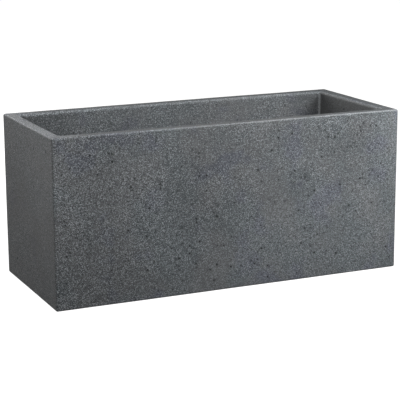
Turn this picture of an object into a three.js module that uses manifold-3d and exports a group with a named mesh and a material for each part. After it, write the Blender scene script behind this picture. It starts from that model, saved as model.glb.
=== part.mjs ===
// A long self-watering planter: a double-walled, stone-look trough with a water reservoir in its base.
//
// The trough is one hollow moulding. On its inner floor stand two perforated decks on legs. The space
// under the decks is the reservoir, and the space over them holds the soil. Four slotted baskets hang
// through the decks, so that the soil in them reaches down into the water and draws it up. A shaft in
// one corner takes the water in and carries a float gauge. A fitting in the back wall lets surplus
// water out, and a screw plug in the floor empties the reservoir.
//
// Millimetres, +Z up. The origin is the middle of the base: X runs along the length, -Y is the front.

import * as THREE from "three";
import { mergeVertices } from "three/addons/utils/BufferGeometryUtils.js";
import Module from "manifold-3d";

const wasm = await Module();
wasm.setup();

// ---------------------------------------------------------------- driving dimensions

const LENGTH = 790;
const WIDTH = 330;
const HEIGHT = 354;
const RIM_WIDTH = 27; // outer face to inner face, at the top
const SKIN = 4; // wall of the moulding
const RIM_SKIN = 5; // the rim's top face is a little thicker
const FLOOR_Z = 24; // top of the inner floor
const DRAFT = 6; // how far each inner wall leans in, from rim to floor
const FOOT_WIDTH = 32; // the flat ring that the planter stands on
const FOOT_DEPTH = 5;
const GAP = 0.3; // between pieces that touch

const DECK_TOP = 110;
const DECK_PLATE = 3;
const DECK_DEPTH = 13; // plate and skirt together
const DECK_WALL = 2.5;
const DECK_CLEARANCE = 1.9; // to the inner walls
const DECK_JOINT = 2; // between the two decks

const BASKETS = [{ name: "inner", x: 90 }, { name: "outer", x: 225 }];
const LEGS = [[22, -112], [22, 112], [157, -112], [157, 112], [338, 112], [338, -58]];
const LEG_SPREAD = 12; // half the leg's cross
const LEG_WEB = 3;

const SHAFT_X = 318;
const SHAFT_Y = -103;
const SHAFT_LENGTH = 72;
const SHAFT_WIDTH = 42;
const SHAFT_CORNER = 5;
const SHAFT_WALL = 2;
const SHAFT_TOP = 316;
const GAUGE_X = 20; // the float's axis, from the shaft's

const OVERFLOW_X = -200;
const OVERFLOW_Z = 80;
const VENT_X = 300;

const CORNER_STEPS = 4; // straight steps in a quarter circle

// ---------------------------------------------------------------- shapes and booleans

// A closed geometry as a manifold-3d solid. Triangles that close up to a line at a pole are left out.
function solidOf(geometry) {
  const bare = geometry.clone();
  bare.deleteAttribute("normal");
  bare.deleteAttribute("uv");
  const merged = mergeVertices(bare, 1e-4);
  const corners = merged.index.array;
  const kept = [];
  for (let i = 0; i < corners.length; i += 3) {
    const [a, b, c] = corners.slice(i, i + 3);
    if (a !== b && b !== c && c !== a) kept.push(a, b, c);
  }
  const vertProperties = merged.attributes.position.array;
  return new wasm.Manifold(new wasm.Mesh({ numProp: 3, vertProperties, triVerts: new Uint32Array(kept) }));
}

// A manifold-3d solid as a geometry.
function geometryOf(solid) {
  const mesh = solid.getMesh();
  const geometry = new THREE.BufferGeometry();
  geometry.setAttribute("position", new THREE.BufferAttribute(new Float32Array(mesh.vertProperties), 3));
  geometry.setIndex(new THREE.BufferAttribute(new Uint32Array(mesh.triVerts), 1));
  geometry.computeVertexNormals();
  return geometry;
}

function join(...geometries) {
  return geometryOf(geometries.map(solidOf).reduce((sum, next) => sum.add(next)));
}

function cut(body, ...tools) {
  return geometryOf(tools.map(solidOf).reduce((rest, tool) => rest.subtract(tool), solidOf(body)));
}

function roundedRectangle(length, width, radius) {
  const x = length / 2 - radius;
  const y = width / 2 - radius;
  const quarter = Math.PI / 2;
  const shape = new THREE.Shape();
  shape.absarc(x, y, radius, 0, quarter);
  shape.absarc(-x, y, radius, quarter, 2 * quarter);
  shape.absarc(-x, -y, radius, 2 * quarter, 3 * quarter);
  shape.absarc(x, -y, radius, 3 * quarter, 4 * quarter);
  return shape;
}

// A block with a rounded-rectangle plan whose sides step in and out with height. The profile lists
// [z, inset] from the bottom up, and an inset moves every side that far towards the middle.
function profiledBlock(length, width, radius, profile) {
  const levels = profile.length - 1;
  const plan = roundedRectangle(length, width, radius);
  const rise = { depth: levels, steps: levels, bevelEnabled: false, curveSegments: CORNER_STEPS };
  const geometry = new THREE.ExtrudeGeometry(plan, rise);
  const position = geometry.attributes.position;
  for (let i = 0; i < position.count; i++) {
    const [z, inset] = profile[Math.round(position.getZ(i))];
    const x = position.getX(i);
    const y = position.getY(i);
    position.setXYZ(i, x - Math.sign(x) * inset, y - Math.sign(y) * inset, z);
  }
  return geometry;
}

// A straight block with a rounded-rectangle plan, centred on x and y.
function slab(length, width, radius, z0, z1, x = 0, y = 0) {
  return profiledBlock(length, width, radius, [[z0, 0], [z1, 0]]).translate(x, y, 0);
}

// A box that is centred on x and y.
function block(length, width, z0, z1, x = 0, y = 0) {
  return new THREE.BoxGeometry(length, width, z1 - z0).translate(x, y, (z0 + z1) / 2);
}

// An upright cylinder.
function disc(radius, z0, z1, sides, x = 0, y = 0) {
  const geometry = new THREE.CylinderGeometry(radius, radius, z1 - z0, sides);
  return geometry.rotateX(Math.PI / 2).translate(x, y, (z0 + z1) / 2);
}

// A shape turned about Z. The profile lists [radius, z] anticlockwise, so the outside comes first.
function turned(profile, sides) {
  const points = profile.map(([radius, z]) => new THREE.Vector2(radius, z));
  return new THREE.LatheGeometry(points, sides).rotateX(Math.PI / 2);
}

// An upright ring with a square section.
function ring(inner, outer, z0, z1, sides) {
  return turned([[inner, z0], [outer, z0], [outer, z1], [inner, z1], [inner, z0]], sides);
}

// Tips an upright shape over so that its top points along +Y.
function towardsBack(geometry) {
  return geometry.rotateX(-Math.PI / 2);
}

// A quarter circle as [rise, inset] steps, from flat on the ground to upright.
function roundOver(radius) {
  return Array.from({ length: CORNER_STEPS + 1 }, (_, step) => {
    const angle = (step / CORNER_STEPS) * (Math.PI / 2);
    return [radius * (1 - Math.cos(angle)), radius * (1 - Math.sin(angle))];
  });
}

// ---------------------------------------------------------------- materials

const finishes = {
  stone: new THREE.MeshStandardMaterial({ color: 0x4c5052, roughness: 0.85, metalness: 0 }),
  deckPlastic: new THREE.MeshStandardMaterial({ color: 0x26282a, roughness: 0.55, metalness: 0 }),
  shaftPlastic: new THREE.MeshStandardMaterial({ color: 0x34373a, roughness: 0.45, metalness: 0 }),
  rubber: new THREE.MeshStandardMaterial({ color: 0x17181a, roughness: 0.8, metalness: 0 }),
  float: new THREE.MeshStandardMaterial({ color: 0xe4e2da, roughness: 0.6, metalness: 0 }),
  indicator: new THREE.MeshStandardMaterial({ color: 0xc0281f, roughness: 0.4, metalness: 0 }),
  window: new THREE.MeshStandardMaterial({ color: 0xdfe8ea, roughness: 0.05, metalness: 0 }),
  steel: new THREE.MeshStandardMaterial({ color: 0xa8abad, roughness: 0.35, metalness: 1 }),
};

function piece(name, geometry, finish) {
  const mesh = new THREE.Mesh(geometry, finishes[finish]);
  mesh.name = name;
  return mesh;
}

// ---------------------------------------------------------------- trough

const MOUTH_LENGTH = LENGTH - 2 * RIM_WIDTH;
const MOUTH_WIDTH = WIDTH - 2 * RIM_WIDTH;
const EDGE_RADIUS = 6; // upright outer edges
const INNER_CORNER = 10; // upright inner corners
const BASE_ROUND = 5;
const RIM_OUTER_ROUND = 5.5;
const RIM_INNER_ROUND = 7;
const FLOOR_ROUND = 6; // where the inner walls meet the floor

const DRAIN_HOLE = 16.4;
const DRAIN_BOSS = 30; // solid round the drain, where the two skins touch
const OVERFLOW_HOLE = 9.1;
const POCKET_RADIUS = 18;
const POCKET_DEPTH = 14;
const POCKET_BOSS = 26;
const VENT_HOLE = 4;
const VENT_SIDES = 12;
const CHANNEL_X = 180; // drainage channels under the back wall
const CHANNEL_WIDTH = 24;
const CHANNEL_DEPTH = 3;

// How far an inner wall stands in at height z, from its place at the rim.
function leanAt(z) {
  return (DRAFT * (HEIGHT - z)) / (HEIGHT - FLOOR_Z);
}

// The space inside the trough, grown at its sides and floor by a skin.
function innerSpace(skin) {
  const floor = roundOver(FLOOR_ROUND).map(([rise, inset]) => {
    return [FLOOR_Z - skin + rise, leanAt(FLOOR_Z + rise) + inset - skin];
  });
  const mouth = roundOver(RIM_INNER_ROUND).map(([drop, flare]) => {
    return [HEIGHT - drop, leanAt(HEIGHT - drop) - flare - skin];
  });
  const above = [HEIGHT + SKIN, -RIM_INNER_ROUND - skin];
  return profiledBlock(MOUTH_LENGTH, MOUTH_WIDTH, INNER_CORNER, [...floor, ...mouth.reverse(), above]);
}

function planterBody() {
  const base = roundOver(BASE_ROUND);
  const rim = roundOver(RIM_OUTER_ROUND).map(([drop, inset]) => [HEIGHT - drop, inset]);
  const outside = profiledBlock(LENGTH, WIDTH, EDGE_RADIUS, [...base, ...rim.reverse()]);

  const footLength = LENGTH - 2 * FOOT_WIDTH;
  const footWidth = WIDTH - 2 * FOOT_WIDTH;
  const footSpace = slab(footLength, footWidth, INNER_CORNER, -SKIN, FOOT_DEPTH);
  const footSkin = slab(footLength + 2 * SKIN, footWidth + 2 * SKIN, INNER_CORNER, -SKIN, FOOT_DEPTH + SKIN);

  const hollow = cut(
    slab(LENGTH - 2 * SKIN, WIDTH - 2 * SKIN, EDGE_RADIUS, SKIN, HEIGHT - RIM_SKIN),
    innerSpace(SKIN),
    footSkin,
    disc(DRAIN_BOSS, 0, FLOOR_Z, 32),
    towardsBack(disc(POCKET_BOSS, 0, WIDTH, 32)).translate(OVERFLOW_X, 0, OVERFLOW_Z),
  );
  const pocket = disc(POCKET_RADIUS, WIDTH / 2 - POCKET_DEPTH, WIDTH, 32);
  const overflowHole = disc(OVERFLOW_HOLE, 0, WIDTH, 24);
  const channels = [-CHANNEL_X, CHANNEL_X].map((x) => {
    return block(CHANNEL_WIDTH, FOOT_WIDTH + 2 * SKIN, -SKIN, CHANNEL_DEPTH, x, WIDTH / 2 - FOOT_WIDTH / 2);
  });
  const vents = [-VENT_X, VENT_X].map((x) => disc(VENT_HOLE, 0, FLOOR_Z - SKIN, VENT_SIDES, x));
  return cut(
    outside,
    innerSpace(0),
    hollow,
    footSpace,
    disc(DRAIN_HOLE, -SKIN, FLOOR_Z + SKIN, 24),
    towardsBack(pocket).translate(OVERFLOW_X, 0, OVERFLOW_Z),
    towardsBack(overflowHole).translate(OVERFLOW_X, 0, OVERFLOW_Z),
    ...channels,
    ...vents,
  );
}

// ---------------------------------------------------------------- decks and legs

const DECK_FOOT = DECK_TOP - DECK_DEPTH; // lowest edge of the skirt
const PLATE_FOOT = DECK_TOP - DECK_PLATE;
const DECK_END = MOUTH_LENGTH / 2 - leanAt(DECK_FOOT) - DECK_CLEARANCE;
const DECK_LENGTH = DECK_END - DECK_JOINT / 2;
const DECK_WIDTH = MOUTH_WIDTH - 2 * leanAt(DECK_FOOT) - 2 * DECK_CLEARANCE;
const DECK_X = DECK_END - DECK_LENGTH / 2;
const DECK_CORNER = 12;
const BASKET_HOLE = 38;
const COLLAR_DEPTH = 10; // rims under the plate, round the basket holes
const LEG_SOCKET = 9.2;
const LEG_SIDES = 8;
const SHAFT_HOLE_CLEARANCE = 1; // deck to shaft, each side

const SLOT_LENGTH = 34;
const SLOT_WIDTH = 5;
const SLOT_PITCH_X = 45;
const SLOT_PITCH_Y = 24;
const SLOT_START_X = 45;
const SLOT_ROWS = 4; // each side of the middle row
const SLOT_MARGIN = 3; // material between a slot and the next feature

// Whether a slot at x, y keeps clear of the baskets, the legs, the shaft and the skirt.
function slotFits(x, y) {
  const reach = SLOT_MARGIN + SLOT_WIDTH / 2;
  const distance = (px, py) => {
    return Math.hypot(Math.max(0, Math.abs(x - px) - SLOT_LENGTH / 2), y - py);
  };
  const fromBaskets = BASKETS.every((basket) => distance(basket.x, 0) > BASKET_HOLE + DECK_WALL + reach);
  const fromLegs = LEGS.every(([px, py]) => distance(px, py) > LEG_SOCKET + DECK_WALL + reach);
  const besideShaft = Math.abs(x - SHAFT_X) > (SHAFT_LENGTH + SLOT_LENGTH) / 2 + reach;
  const behindShaft = Math.abs(y - SHAFT_Y) > SHAFT_WIDTH / 2 + 2 * reach;
  const inLength = Math.abs(x - DECK_X) < (DECK_LENGTH - SLOT_LENGTH) / 2 - DECK_WALL - reach;
  const inWidth = Math.abs(y) < DECK_WIDTH / 2 - DECK_WALL - reach;
  return fromBaskets && fromLegs && (besideShaft || behindShaft) && inLength && inWidth;
}

function deckSlots() {
  const slots = [];
  for (let column = 0; column * SLOT_PITCH_X < DECK_LENGTH; column++) {
    for (let row = -SLOT_ROWS; row <= SLOT_ROWS; row++) {
      const x = SLOT_START_X + column * SLOT_PITCH_X;
      const y = row * SLOT_PITCH_Y;
      if (slotFits(x, y)) slots.push(block(SLOT_LENGTH, SLOT_WIDTH, PLATE_FOOT - 1, DECK_TOP + 1, x, y));
    }
  }
  return slots;
}

function separator() {
  const shell = cut(
    slab(DECK_LENGTH, DECK_WIDTH, DECK_CORNER, DECK_FOOT, DECK_TOP, DECK_X),
    slab(
      DECK_LENGTH - 2 * DECK_WALL,
      DECK_WIDTH - 2 * DECK_WALL,
      DECK_CORNER - DECK_WALL,
      DECK_FOOT - 1,
      PLATE_FOOT,
      DECK_X,
    ),
  );
  const sockets = LEGS.map(([x, y]) => disc(LEG_SOCKET + DECK_WALL, DECK_FOOT, PLATE_FOOT, LEG_SIDES, x, y));
  const collars = BASKETS.map(({ x }) => {
    return disc(BASKET_HOLE + DECK_WALL, DECK_TOP - COLLAR_DEPTH, PLATE_FOOT, 24, x);
  });
  return cut(
    join(shell, ...sockets, ...collars),
    ...LEGS.map(([x, y]) => disc(LEG_SOCKET, DECK_FOOT - 1, PLATE_FOOT, LEG_SIDES, x, y)),
    ...BASKETS.map(({ x }) => disc(BASKET_HOLE, DECK_FOOT - 1, DECK_TOP + 1, 24, x)),
    slab(
      SHAFT_LENGTH + 2 * SHAFT_HOLE_CLEARANCE,
      SHAFT_WIDTH + 2 * SHAFT_HOLE_CLEARANCE,
      SHAFT_CORNER,
      DECK_FOOT - 1,
      DECK_TOP + 1,
      SHAFT_X,
      SHAFT_Y,
    ),
    ...deckSlots(),
  );
}

// A cross-section leg with a round shoulder under the socket and a spigot inside it.
function leg(x, y) {
  const shoulder = DECK_FOOT - GAP;
  const upright = join(
    block(2 * LEG_SPREAD, LEG_WEB, FLOOR_Z + GAP, shoulder, x, y),
    block(LEG_WEB, 2 * LEG_SPREAD, FLOOR_Z + GAP, shoulder, x, y),
  );
  return join(
    upright,
    disc(LEG_SPREAD, shoulder - LEG_WEB, shoulder, LEG_SIDES, x, y),
    disc(LEG_SOCKET - 2 * GAP, shoulder - 1, PLATE_FOOT - GAP, LEG_SIDES, x, y),
  );
}

// ---------------------------------------------------------------- wick baskets

const BASKET_FOOT = FLOOR_Z + 2;
const BASKET_TOP_RADIUS = 36;
const BASKET_FOOT_RADIUS = 28;
const BASKET_FLANGE = 45;
const BASKET_WALL = 2;
const BASKET_SIDES = 16;
const BASKET_SLOT = 5;
const BASKET_SLOT_HEIGHT = 26;
const BASKET_SLOT_ROWS = [36, 70]; // foot of each row of slots
const BASKET_FLOOR_SLOT = { length: 30, width: 4, pitch: 12 };

function basket(x) {
  const flangeFoot = DECK_TOP + GAP;
  const flangeTop = flangeFoot + BASKET_WALL;
  const cup = turned(
    [
      [0, BASKET_FOOT],
      [BASKET_FOOT_RADIUS, BASKET_FOOT],
      [BASKET_TOP_RADIUS, flangeFoot],
      [BASKET_FLANGE, flangeFoot],
      [BASKET_FLANGE, flangeTop],
      [BASKET_TOP_RADIUS - BASKET_WALL, flangeTop],
      [BASKET_FOOT_RADIUS - BASKET_WALL, BASKET_FOOT + BASKET_WALL],
      [0, BASKET_FOOT + BASKET_WALL],
    ],
    BASKET_SIDES,
  );
  const sideSlots = BASKET_SLOT_ROWS.flatMap((z0) => {
    return [0, 1, 2, 3].map((turn) => {
      const through = block(3 * BASKET_FOOT_RADIUS, BASKET_SLOT, z0, z0 + BASKET_SLOT_HEIGHT);
      return through.rotateZ((turn * Math.PI) / 4);
    });
  });
  const floorSlots = [-1, 0, 1].map((row) => {
    const { length, width, pitch } = BASKET_FLOOR_SLOT;
    return block(length, width, BASKET_FOOT - 1, BASKET_FOOT + BASKET_WALL + 1, 0, row * pitch);
  });
  return cut(cup, ...sideSlots, ...floorSlots).translate(x, 0, 0);
}

// ---------------------------------------------------------------- filling shaft and gauge

const FOOT_TOP = 58;
const SPIGOT_TOP = 72;
const SHAFT_FIT = 0.35; // spigot to tube, each side
const INTAKE_FOOT = 32; // the slots that let the water through the shaft's foot
const INTAKE_TOP = 52;
const INTAKE_WIDTH = 5;
const INTAKE_PITCH = 12;
const INTAKE_END_WIDTH = 4;
const INTAKE_END_PITCH = 10;
const DIVIDER_X = 7;
const HEAD_OVERHANG = 4;
const HEAD_LENGTH = SHAFT_LENGTH + 2 * HEAD_OVERHANG;
const HEAD_WIDTH = SHAFT_WIDTH + 2 * HEAD_OVERHANG;
const HEAD_PLATE = 3;
const HEAD_FOOT = SHAFT_TOP - 16;
const HEAD_TOP = SHAFT_TOP + GAP + HEAD_PLATE;
const FILL_X = -15;
const FILL_LENGTH = 34;
const FILL_WIDTH = 30;
const FILL_CORNER = 4;
const WINDOW_RADIUS = 9;
const WINDOW_WALL = 1.2;
const WINDOW_FLANGE = 2;
const WINDOW_RISE = 7; // above the head's top plate
const HINGE_X = -37;
const HINGE_Z = HEAD_TOP + 2.8;
const PIN_RADIUS = 1.25;
const PIN_LENGTH = 35;
const KNUCKLE_RADIUS = 2.5;
const EAR_Y = 15;
const EAR_THICK = 3;
const LID_THICK = 2;
const LID_LAP = 3; // past the fill opening, each way
const LIP_THICK = 3;
const LIP_WIDTH = 16;
const LIP_RISE = 5;

const FLOAT_RADIUS = 10.5;
const FLOAT_FOOT = 28;
const FLOAT_TOP = 62;
const DISC_FOOT = 275;
const DISC_TOP = 280;
const DISC_RADIUS = 6.5;
const ROD_RADIUS = 1.5;

function shaftTube() {
  const z0 = FOOT_TOP + GAP;
  const shell = cut(
    slab(SHAFT_LENGTH, SHAFT_WIDTH, SHAFT_CORNER, z0, SHAFT_TOP),
    slab(
      SHAFT_LENGTH - 2 * SHAFT_WALL,
      SHAFT_WIDTH - 2 * SHAFT_WALL,
      SHAFT_CORNER - SHAFT_WALL,
      z0 - 1,
      SHAFT_TOP + 1,
    ),
  );
  return join(shell, block(SHAFT_WALL, SHAFT_WIDTH - SHAFT_WALL, SPIGOT_TOP + 1, SHAFT_TOP, DIVIDER_X));
}

function shaftFoot() {
  const spigotLength = SHAFT_LENGTH - 2 * SHAFT_WALL - 2 * SHAFT_FIT;
  const spigotWidth = SHAFT_WIDTH - 2 * SHAFT_WALL - 2 * SHAFT_FIT;
  const bore = (wall, z0, z1) => {
    return slab(spigotLength - 2 * wall, spigotWidth - 2 * wall, SHAFT_CORNER - SHAFT_WALL, z0, z1);
  };
  const sideSlots = [-2, -1, 0, 1, 2].map((column) => {
    return block(INTAKE_WIDTH, 2 * SHAFT_WIDTH, INTAKE_FOOT, INTAKE_TOP, column * INTAKE_PITCH);
  });
  const endSlots = [-1, 0, 1].map((row) => {
    return block(2 * SHAFT_LENGTH, INTAKE_END_WIDTH, INTAKE_FOOT, INTAKE_TOP, 0, row * INTAKE_END_PITCH);
  });
  return cut(
    join(
      slab(SHAFT_LENGTH, SHAFT_WIDTH, SHAFT_CORNER, FLOOR_Z + GAP, FOOT_TOP),
      slab(spigotLength, spigotWidth, SHAFT_CORNER - SHAFT_WALL, FOOT_TOP - 1, SPIGOT_TOP),
    ),
    bore(SHAFT_WALL, FLOAT_FOOT - 1, SPIGOT_TOP + 1),
    bore(4 * SHAFT_WALL, FLOOR_Z, FLOAT_FOOT),
    ...sideSlots,
    ...endSlots,
  );
}

function shaftHead() {
  const sleeve = cut(
    slab(HEAD_LENGTH, HEAD_WIDTH, 2 * HEAD_OVERHANG, HEAD_FOOT, HEAD_TOP),
    slab(
      SHAFT_LENGTH + 2 * SHAFT_FIT,
      SHAFT_WIDTH + 2 * SHAFT_FIT,
      SHAFT_CORNER,
      HEAD_FOOT - 1,
      SHAFT_TOP + GAP,
    ),
    slab(FILL_LENGTH, FILL_WIDTH, FILL_CORNER, SHAFT_TOP, HEAD_TOP + 1, FILL_X),
    disc(WINDOW_RADIUS + GAP, SHAFT_TOP, HEAD_TOP + 1, 20, GAUGE_X),
  );
  const ears = [-EAR_Y, EAR_Y].map((y) => {
    return block(2 * KNUCKLE_RADIUS, EAR_THICK, HEAD_TOP - 1, HINGE_Z + KNUCKLE_RADIUS, HINGE_X, y);
  });
  const pinHole = towardsBack(disc(PIN_RADIUS + GAP, -HEAD_WIDTH, HEAD_WIDTH, 12));
  return cut(join(sleeve, ...ears), pinHole.translate(HINGE_X, 0, HINGE_Z));
}

// The lid closes over the fill opening, with a finger lip at its free end and a knuckle on the pin.
function fillLid() {
  const foot = HEAD_TOP + GAP;
  const top = foot + LID_THICK;
  const reach = EAR_Y - EAR_THICK; // half the knuckle's length
  const freeEnd = FILL_X + FILL_LENGTH / 2;
  const plate = slab(FILL_LENGTH + 2 * LID_LAP, FILL_WIDTH + 8, LID_LAP, foot, top, FILL_X + 1);
  const knuckle = towardsBack(disc(KNUCKLE_RADIUS - GAP, -reach, reach, 12));
  const bridge = block(2 * KNUCKLE_RADIUS, 2 * reach, foot, top, HINGE_X + 3);
  const earSpace = block(8, HEAD_WIDTH, foot - 1, top + 1, HINGE_X);
  const lip = block(LIP_THICK, LIP_WIDTH, foot + 1, foot + LIP_RISE, freeEnd + LIP_THICK / 2);
  const bore = towardsBack(disc(PIN_RADIUS + GAP, -HEAD_WIDTH, HEAD_WIDTH, 12));
  return cut(
    join(cut(plate, earSpace), bridge, lip, knuckle.translate(HINGE_X, 0, HINGE_Z)),
    bore.translate(HINGE_X, 0, HINGE_Z),
  );
}

function lidPin() {
  const pin = disc(PIN_RADIUS, -PIN_LENGTH / 2, PIN_LENGTH / 2, 12);
  return towardsBack(pin).translate(HINGE_X, 0, HINGE_Z);
}

function gaugeFloat() {
  const chamfer = 2;
  return turned(
    [
      [0, FLOAT_FOOT],
      [FLOAT_RADIUS - chamfer, FLOAT_FOOT],
      [FLOAT_RADIUS, FLOAT_FOOT + chamfer],
      [FLOAT_RADIUS, FLOAT_TOP - chamfer],
      [FLOAT_RADIUS - chamfer, FLOAT_TOP],
      [0, FLOAT_TOP],
    ],
    20,
  ).translate(GAUGE_X, 0, 0);
}

// A clear thimble over the gauge disc, held by its flange under the head's top plate.
function gaugeWindow() {
  const bore = WINDOW_RADIUS - WINDOW_WALL;
  const chamfer = 1.5;
  const top = HEAD_TOP + WINDOW_RISE;
  const foot = SHAFT_TOP - 3;
  return turned(
    [
      [bore, foot],
      [WINDOW_RADIUS + WINDOW_FLANGE, foot],
      [WINDOW_RADIUS + WINDOW_FLANGE, SHAFT_TOP],
      [WINDOW_RADIUS, SHAFT_TOP],
      [WINDOW_RADIUS, top - chamfer],
      [WINDOW_RADIUS - chamfer, top],
      [0, top],
      [0, top - WINDOW_WALL],
      [bore, top - WINDOW_WALL],
      [bore, foot],
    ],
    24,
  ).translate(GAUGE_X, 0, 0);
}

// ---------------------------------------------------------------- overflow, drain and vents

const SPOUT_RADIUS = 8.8;
const SPOUT_BORE = 6.5;
const SPOUT_STANDS = 7; // how far the spout reaches into the pocket
const FLANGE_RADIUS = 14;
const FLANGE_THICK = 2.5;
const SEAL_THICK = 1.6;
const NUT_RADIUS = 14;
const NUT_THICK = 5;
const POCKET_FLOOR = WIDTH / 2 - POCKET_DEPTH;
const WALL_FACE = MOUTH_WIDTH / 2 - leanAt(OVERFLOW_Z - FLANGE_RADIUS) - GAP;

function overflowSpout() {
  const flangeFace = WALL_FACE - SEAL_THICK - GAP;
  return towardsBack(
    turned(
      [
        [SPOUT_BORE, flangeFace - FLANGE_THICK],
        [FLANGE_RADIUS, flangeFace - FLANGE_THICK],
        [FLANGE_RADIUS, flangeFace],
        [SPOUT_RADIUS, flangeFace],
        [SPOUT_RADIUS, POCKET_FLOOR + SPOUT_STANDS],
        [SPOUT_BORE, POCKET_FLOOR + SPOUT_STANDS],
        [SPOUT_BORE, flangeFace - FLANGE_THICK],
      ],
      24,
    ),
  );
}

function overflowNut() {
  const nut = new THREE.CylinderGeometry(NUT_RADIUS, NUT_RADIUS, NUT_THICK, 6);
  const hole = new THREE.CylinderGeometry(SPOUT_RADIUS + GAP, SPOUT_RADIUS + GAP, 2 * NUT_THICK, 24);
  return cut(nut, hole).translate(0, POCKET_FLOOR + GAP + NUT_THICK / 2, 0);
}

function overflowSeal() {
  return towardsBack(ring(SPOUT_RADIUS + GAP, FLANGE_RADIUS, WALL_FACE - SEAL_THICK, WALL_FACE, 24));
}

const BUNG_STEM = 10;
const BUNG_TAPER = 0.5;
const BUNG_NECK = 4; // radius of the neck that fingers close round
const BUNG_NECK_HEIGHT = 1.4;
const BUNG_RIM = 2;
const BUNG_CAP = 1.6;

// A rubber bung: a tapered stem in the spout's bore, a rim on its end, a neck and a cap to pull it by.
function overflowBung() {
  const seat = POCKET_FLOOR + SPOUT_STANDS + GAP;
  const neck = seat + BUNG_RIM;
  const cap = neck + BUNG_NECK_HEIGHT;
  return towardsBack(
    turned(
      [
        [0, seat - BUNG_STEM],
        [SPOUT_BORE - GAP - BUNG_TAPER, seat - BUNG_STEM],
        [SPOUT_BORE - GAP, seat],
        [SPOUT_RADIUS, seat],
        [SPOUT_RADIUS, neck],
        [BUNG_NECK, neck],
        [BUNG_NECK, cap],
        [SPOUT_RADIUS - 1, cap],
        [SPOUT_RADIUS - 1, cap + BUNG_CAP],
        [0, cap + BUNG_CAP],
      ],
      24,
    ),
  );
}

const GASKET_TOP = FLOOR_Z + GAP + 1.7;
const PLUG_RADIUS = 16;
const PLUG_FLANGE = 22;
const PLUG_FLANGE_THICK = 3.5;
const WING_LENGTH = 34; // the bar that a hand turns the plug by
const WING_THICK = 5;
const WING_HEIGHT = 17;

function drainPlug() {
  const flangeFoot = GASKET_TOP + GAP;
  return join(
    disc(PLUG_RADIUS, FOOT_DEPTH + 2, flangeFoot + 1, 24),
    disc(PLUG_FLANGE, flangeFoot, flangeFoot + PLUG_FLANGE_THICK, 24),
    block(WING_LENGTH, WING_THICK, flangeFoot + 3, flangeFoot + WING_HEIGHT),
  );
}

function drainGasket() {
  return ring(PLUG_RADIUS + 1, PLUG_FLANGE, FLOOR_Z + GAP, GASKET_TOP, 24);
}

const VENT_HEAD = 8;
const VENT_HEAD_THICK = 1.5;
const VENT_STEM = 6;

// A push-in plug: its head lies under the base skin and its stem goes up into the vent.
function ventPlug(x) {
  const seat = FOOT_DEPTH - GAP;
  const stem = VENT_HOLE - 0.4;
  const profile = [
    [0, seat - VENT_HEAD_THICK],
    [VENT_HEAD, seat - VENT_HEAD_THICK],
    [VENT_HEAD, seat],
    [stem, seat],
    [stem, seat + VENT_STEM],
    [0, seat + VENT_STEM],
  ];
  return turned(profile, VENT_SIDES).translate(x, 0, 0);
}

// ---------------------------------------------------------------- assembly

// Both decks are the same moulding. The left one is the right one turned half round.
function deckHalf(side) {
  const half = new THREE.Group();
  half.add(piece(`separator_${side}`, separator(), "deckPlastic"));
  LEGS.forEach(([x, y], index) => {
    half.add(piece(`leg_${side}_${index + 1}`, leg(x, y), "deckPlastic"));
  });
  BASKETS.forEach(({ name, x }) => {
    half.add(piece(`basket_${side}_${name}`, basket(x), "deckPlastic"));
  });
  half.rotation.z = side === "left" ? Math.PI : 0;
  return half;
}

const COVER_THICK = 2;

// A flanged cover over the shaft opening that stays unused.
function blankingCover() {
  const foot = DECK_TOP + GAP;
  return join(
    slab(SHAFT_LENGTH + 8, SHAFT_WIDTH + 8, SHAFT_CORNER, foot, foot + COVER_THICK),
    slab(SHAFT_LENGTH, SHAFT_WIDTH, SHAFT_CORNER, DECK_FOOT + 3, foot + 1),
  );
}

const fillingShaft = new THREE.Group();
fillingShaft.position.set(SHAFT_X, SHAFT_Y, 0);
fillingShaft.add(
  piece("shaft_tube", shaftTube(), "shaftPlastic"),
  piece("shaft_foot", shaftFoot(), "shaftPlastic"),
  piece("shaft_head", shaftHead(), "shaftPlastic"),
  piece("fill_lid", fillLid(), "shaftPlastic"),
  piece("lid_pin", lidPin(), "steel"),
  piece("gauge_float", gaugeFloat(), "float"),
  piece("gauge_rod", disc(ROD_RADIUS, FLOAT_TOP + GAP, DISC_FOOT - GAP, 8, GAUGE_X), "float"),
  piece("gauge_disc", disc(DISC_RADIUS, DISC_FOOT, DISC_TOP, 20, GAUGE_X), "indicator"),
  piece("gauge_window", gaugeWindow(), "window"),
);

const overflow = new THREE.Group();
overflow.position.set(OVERFLOW_X, 0, OVERFLOW_Z);
overflow.add(
  piece("overflow_spout", overflowSpout(), "shaftPlastic"),
  piece("overflow_seal", overflowSeal(), "rubber"),
  piece("overflow_nut", overflowNut(), "shaftPlastic"),
  piece("overflow_bung", overflowBung(), "rubber"),
);

const group = new THREE.Group();
const cover = piece("blanking_cover", blankingCover(), "deckPlastic");
cover.position.set(-SHAFT_X, -SHAFT_Y, 0);
group.add(
  piece("planter_body", planterBody(), "stone"),
  deckHalf("left"),
  deckHalf("right"),
  cover,
  fillingShaft,
  overflow,
  piece("drain_plug", drainPlug(), "shaftPlastic"),
  piece("drain_gasket", drainGasket(), "rubber"),
  piece("vent_plug_left", ventPlug(-VENT_X), "deckPlastic"),
  piece("vent_plug_right", ventPlug(VENT_X), "deckPlastic"),
);

export default group;
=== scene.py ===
# %% [markdown]
# # A self-watering planter in dark stone-look plastic
#
# The planter is a long double-walled trough. Everything that makes it water itself is inside: two
# perforated decks on legs, four wick baskets, a filling shaft with a float gauge, an overflow fitting
# in the back wall and a screw plug in the floor. This file gives each of those pieces its fine
# surface and its finish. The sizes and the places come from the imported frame, so nothing is fitted
# by eye.

import math

import bmesh
import bpy
import numpy as np
from mathutils import Matrix, Vector


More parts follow.
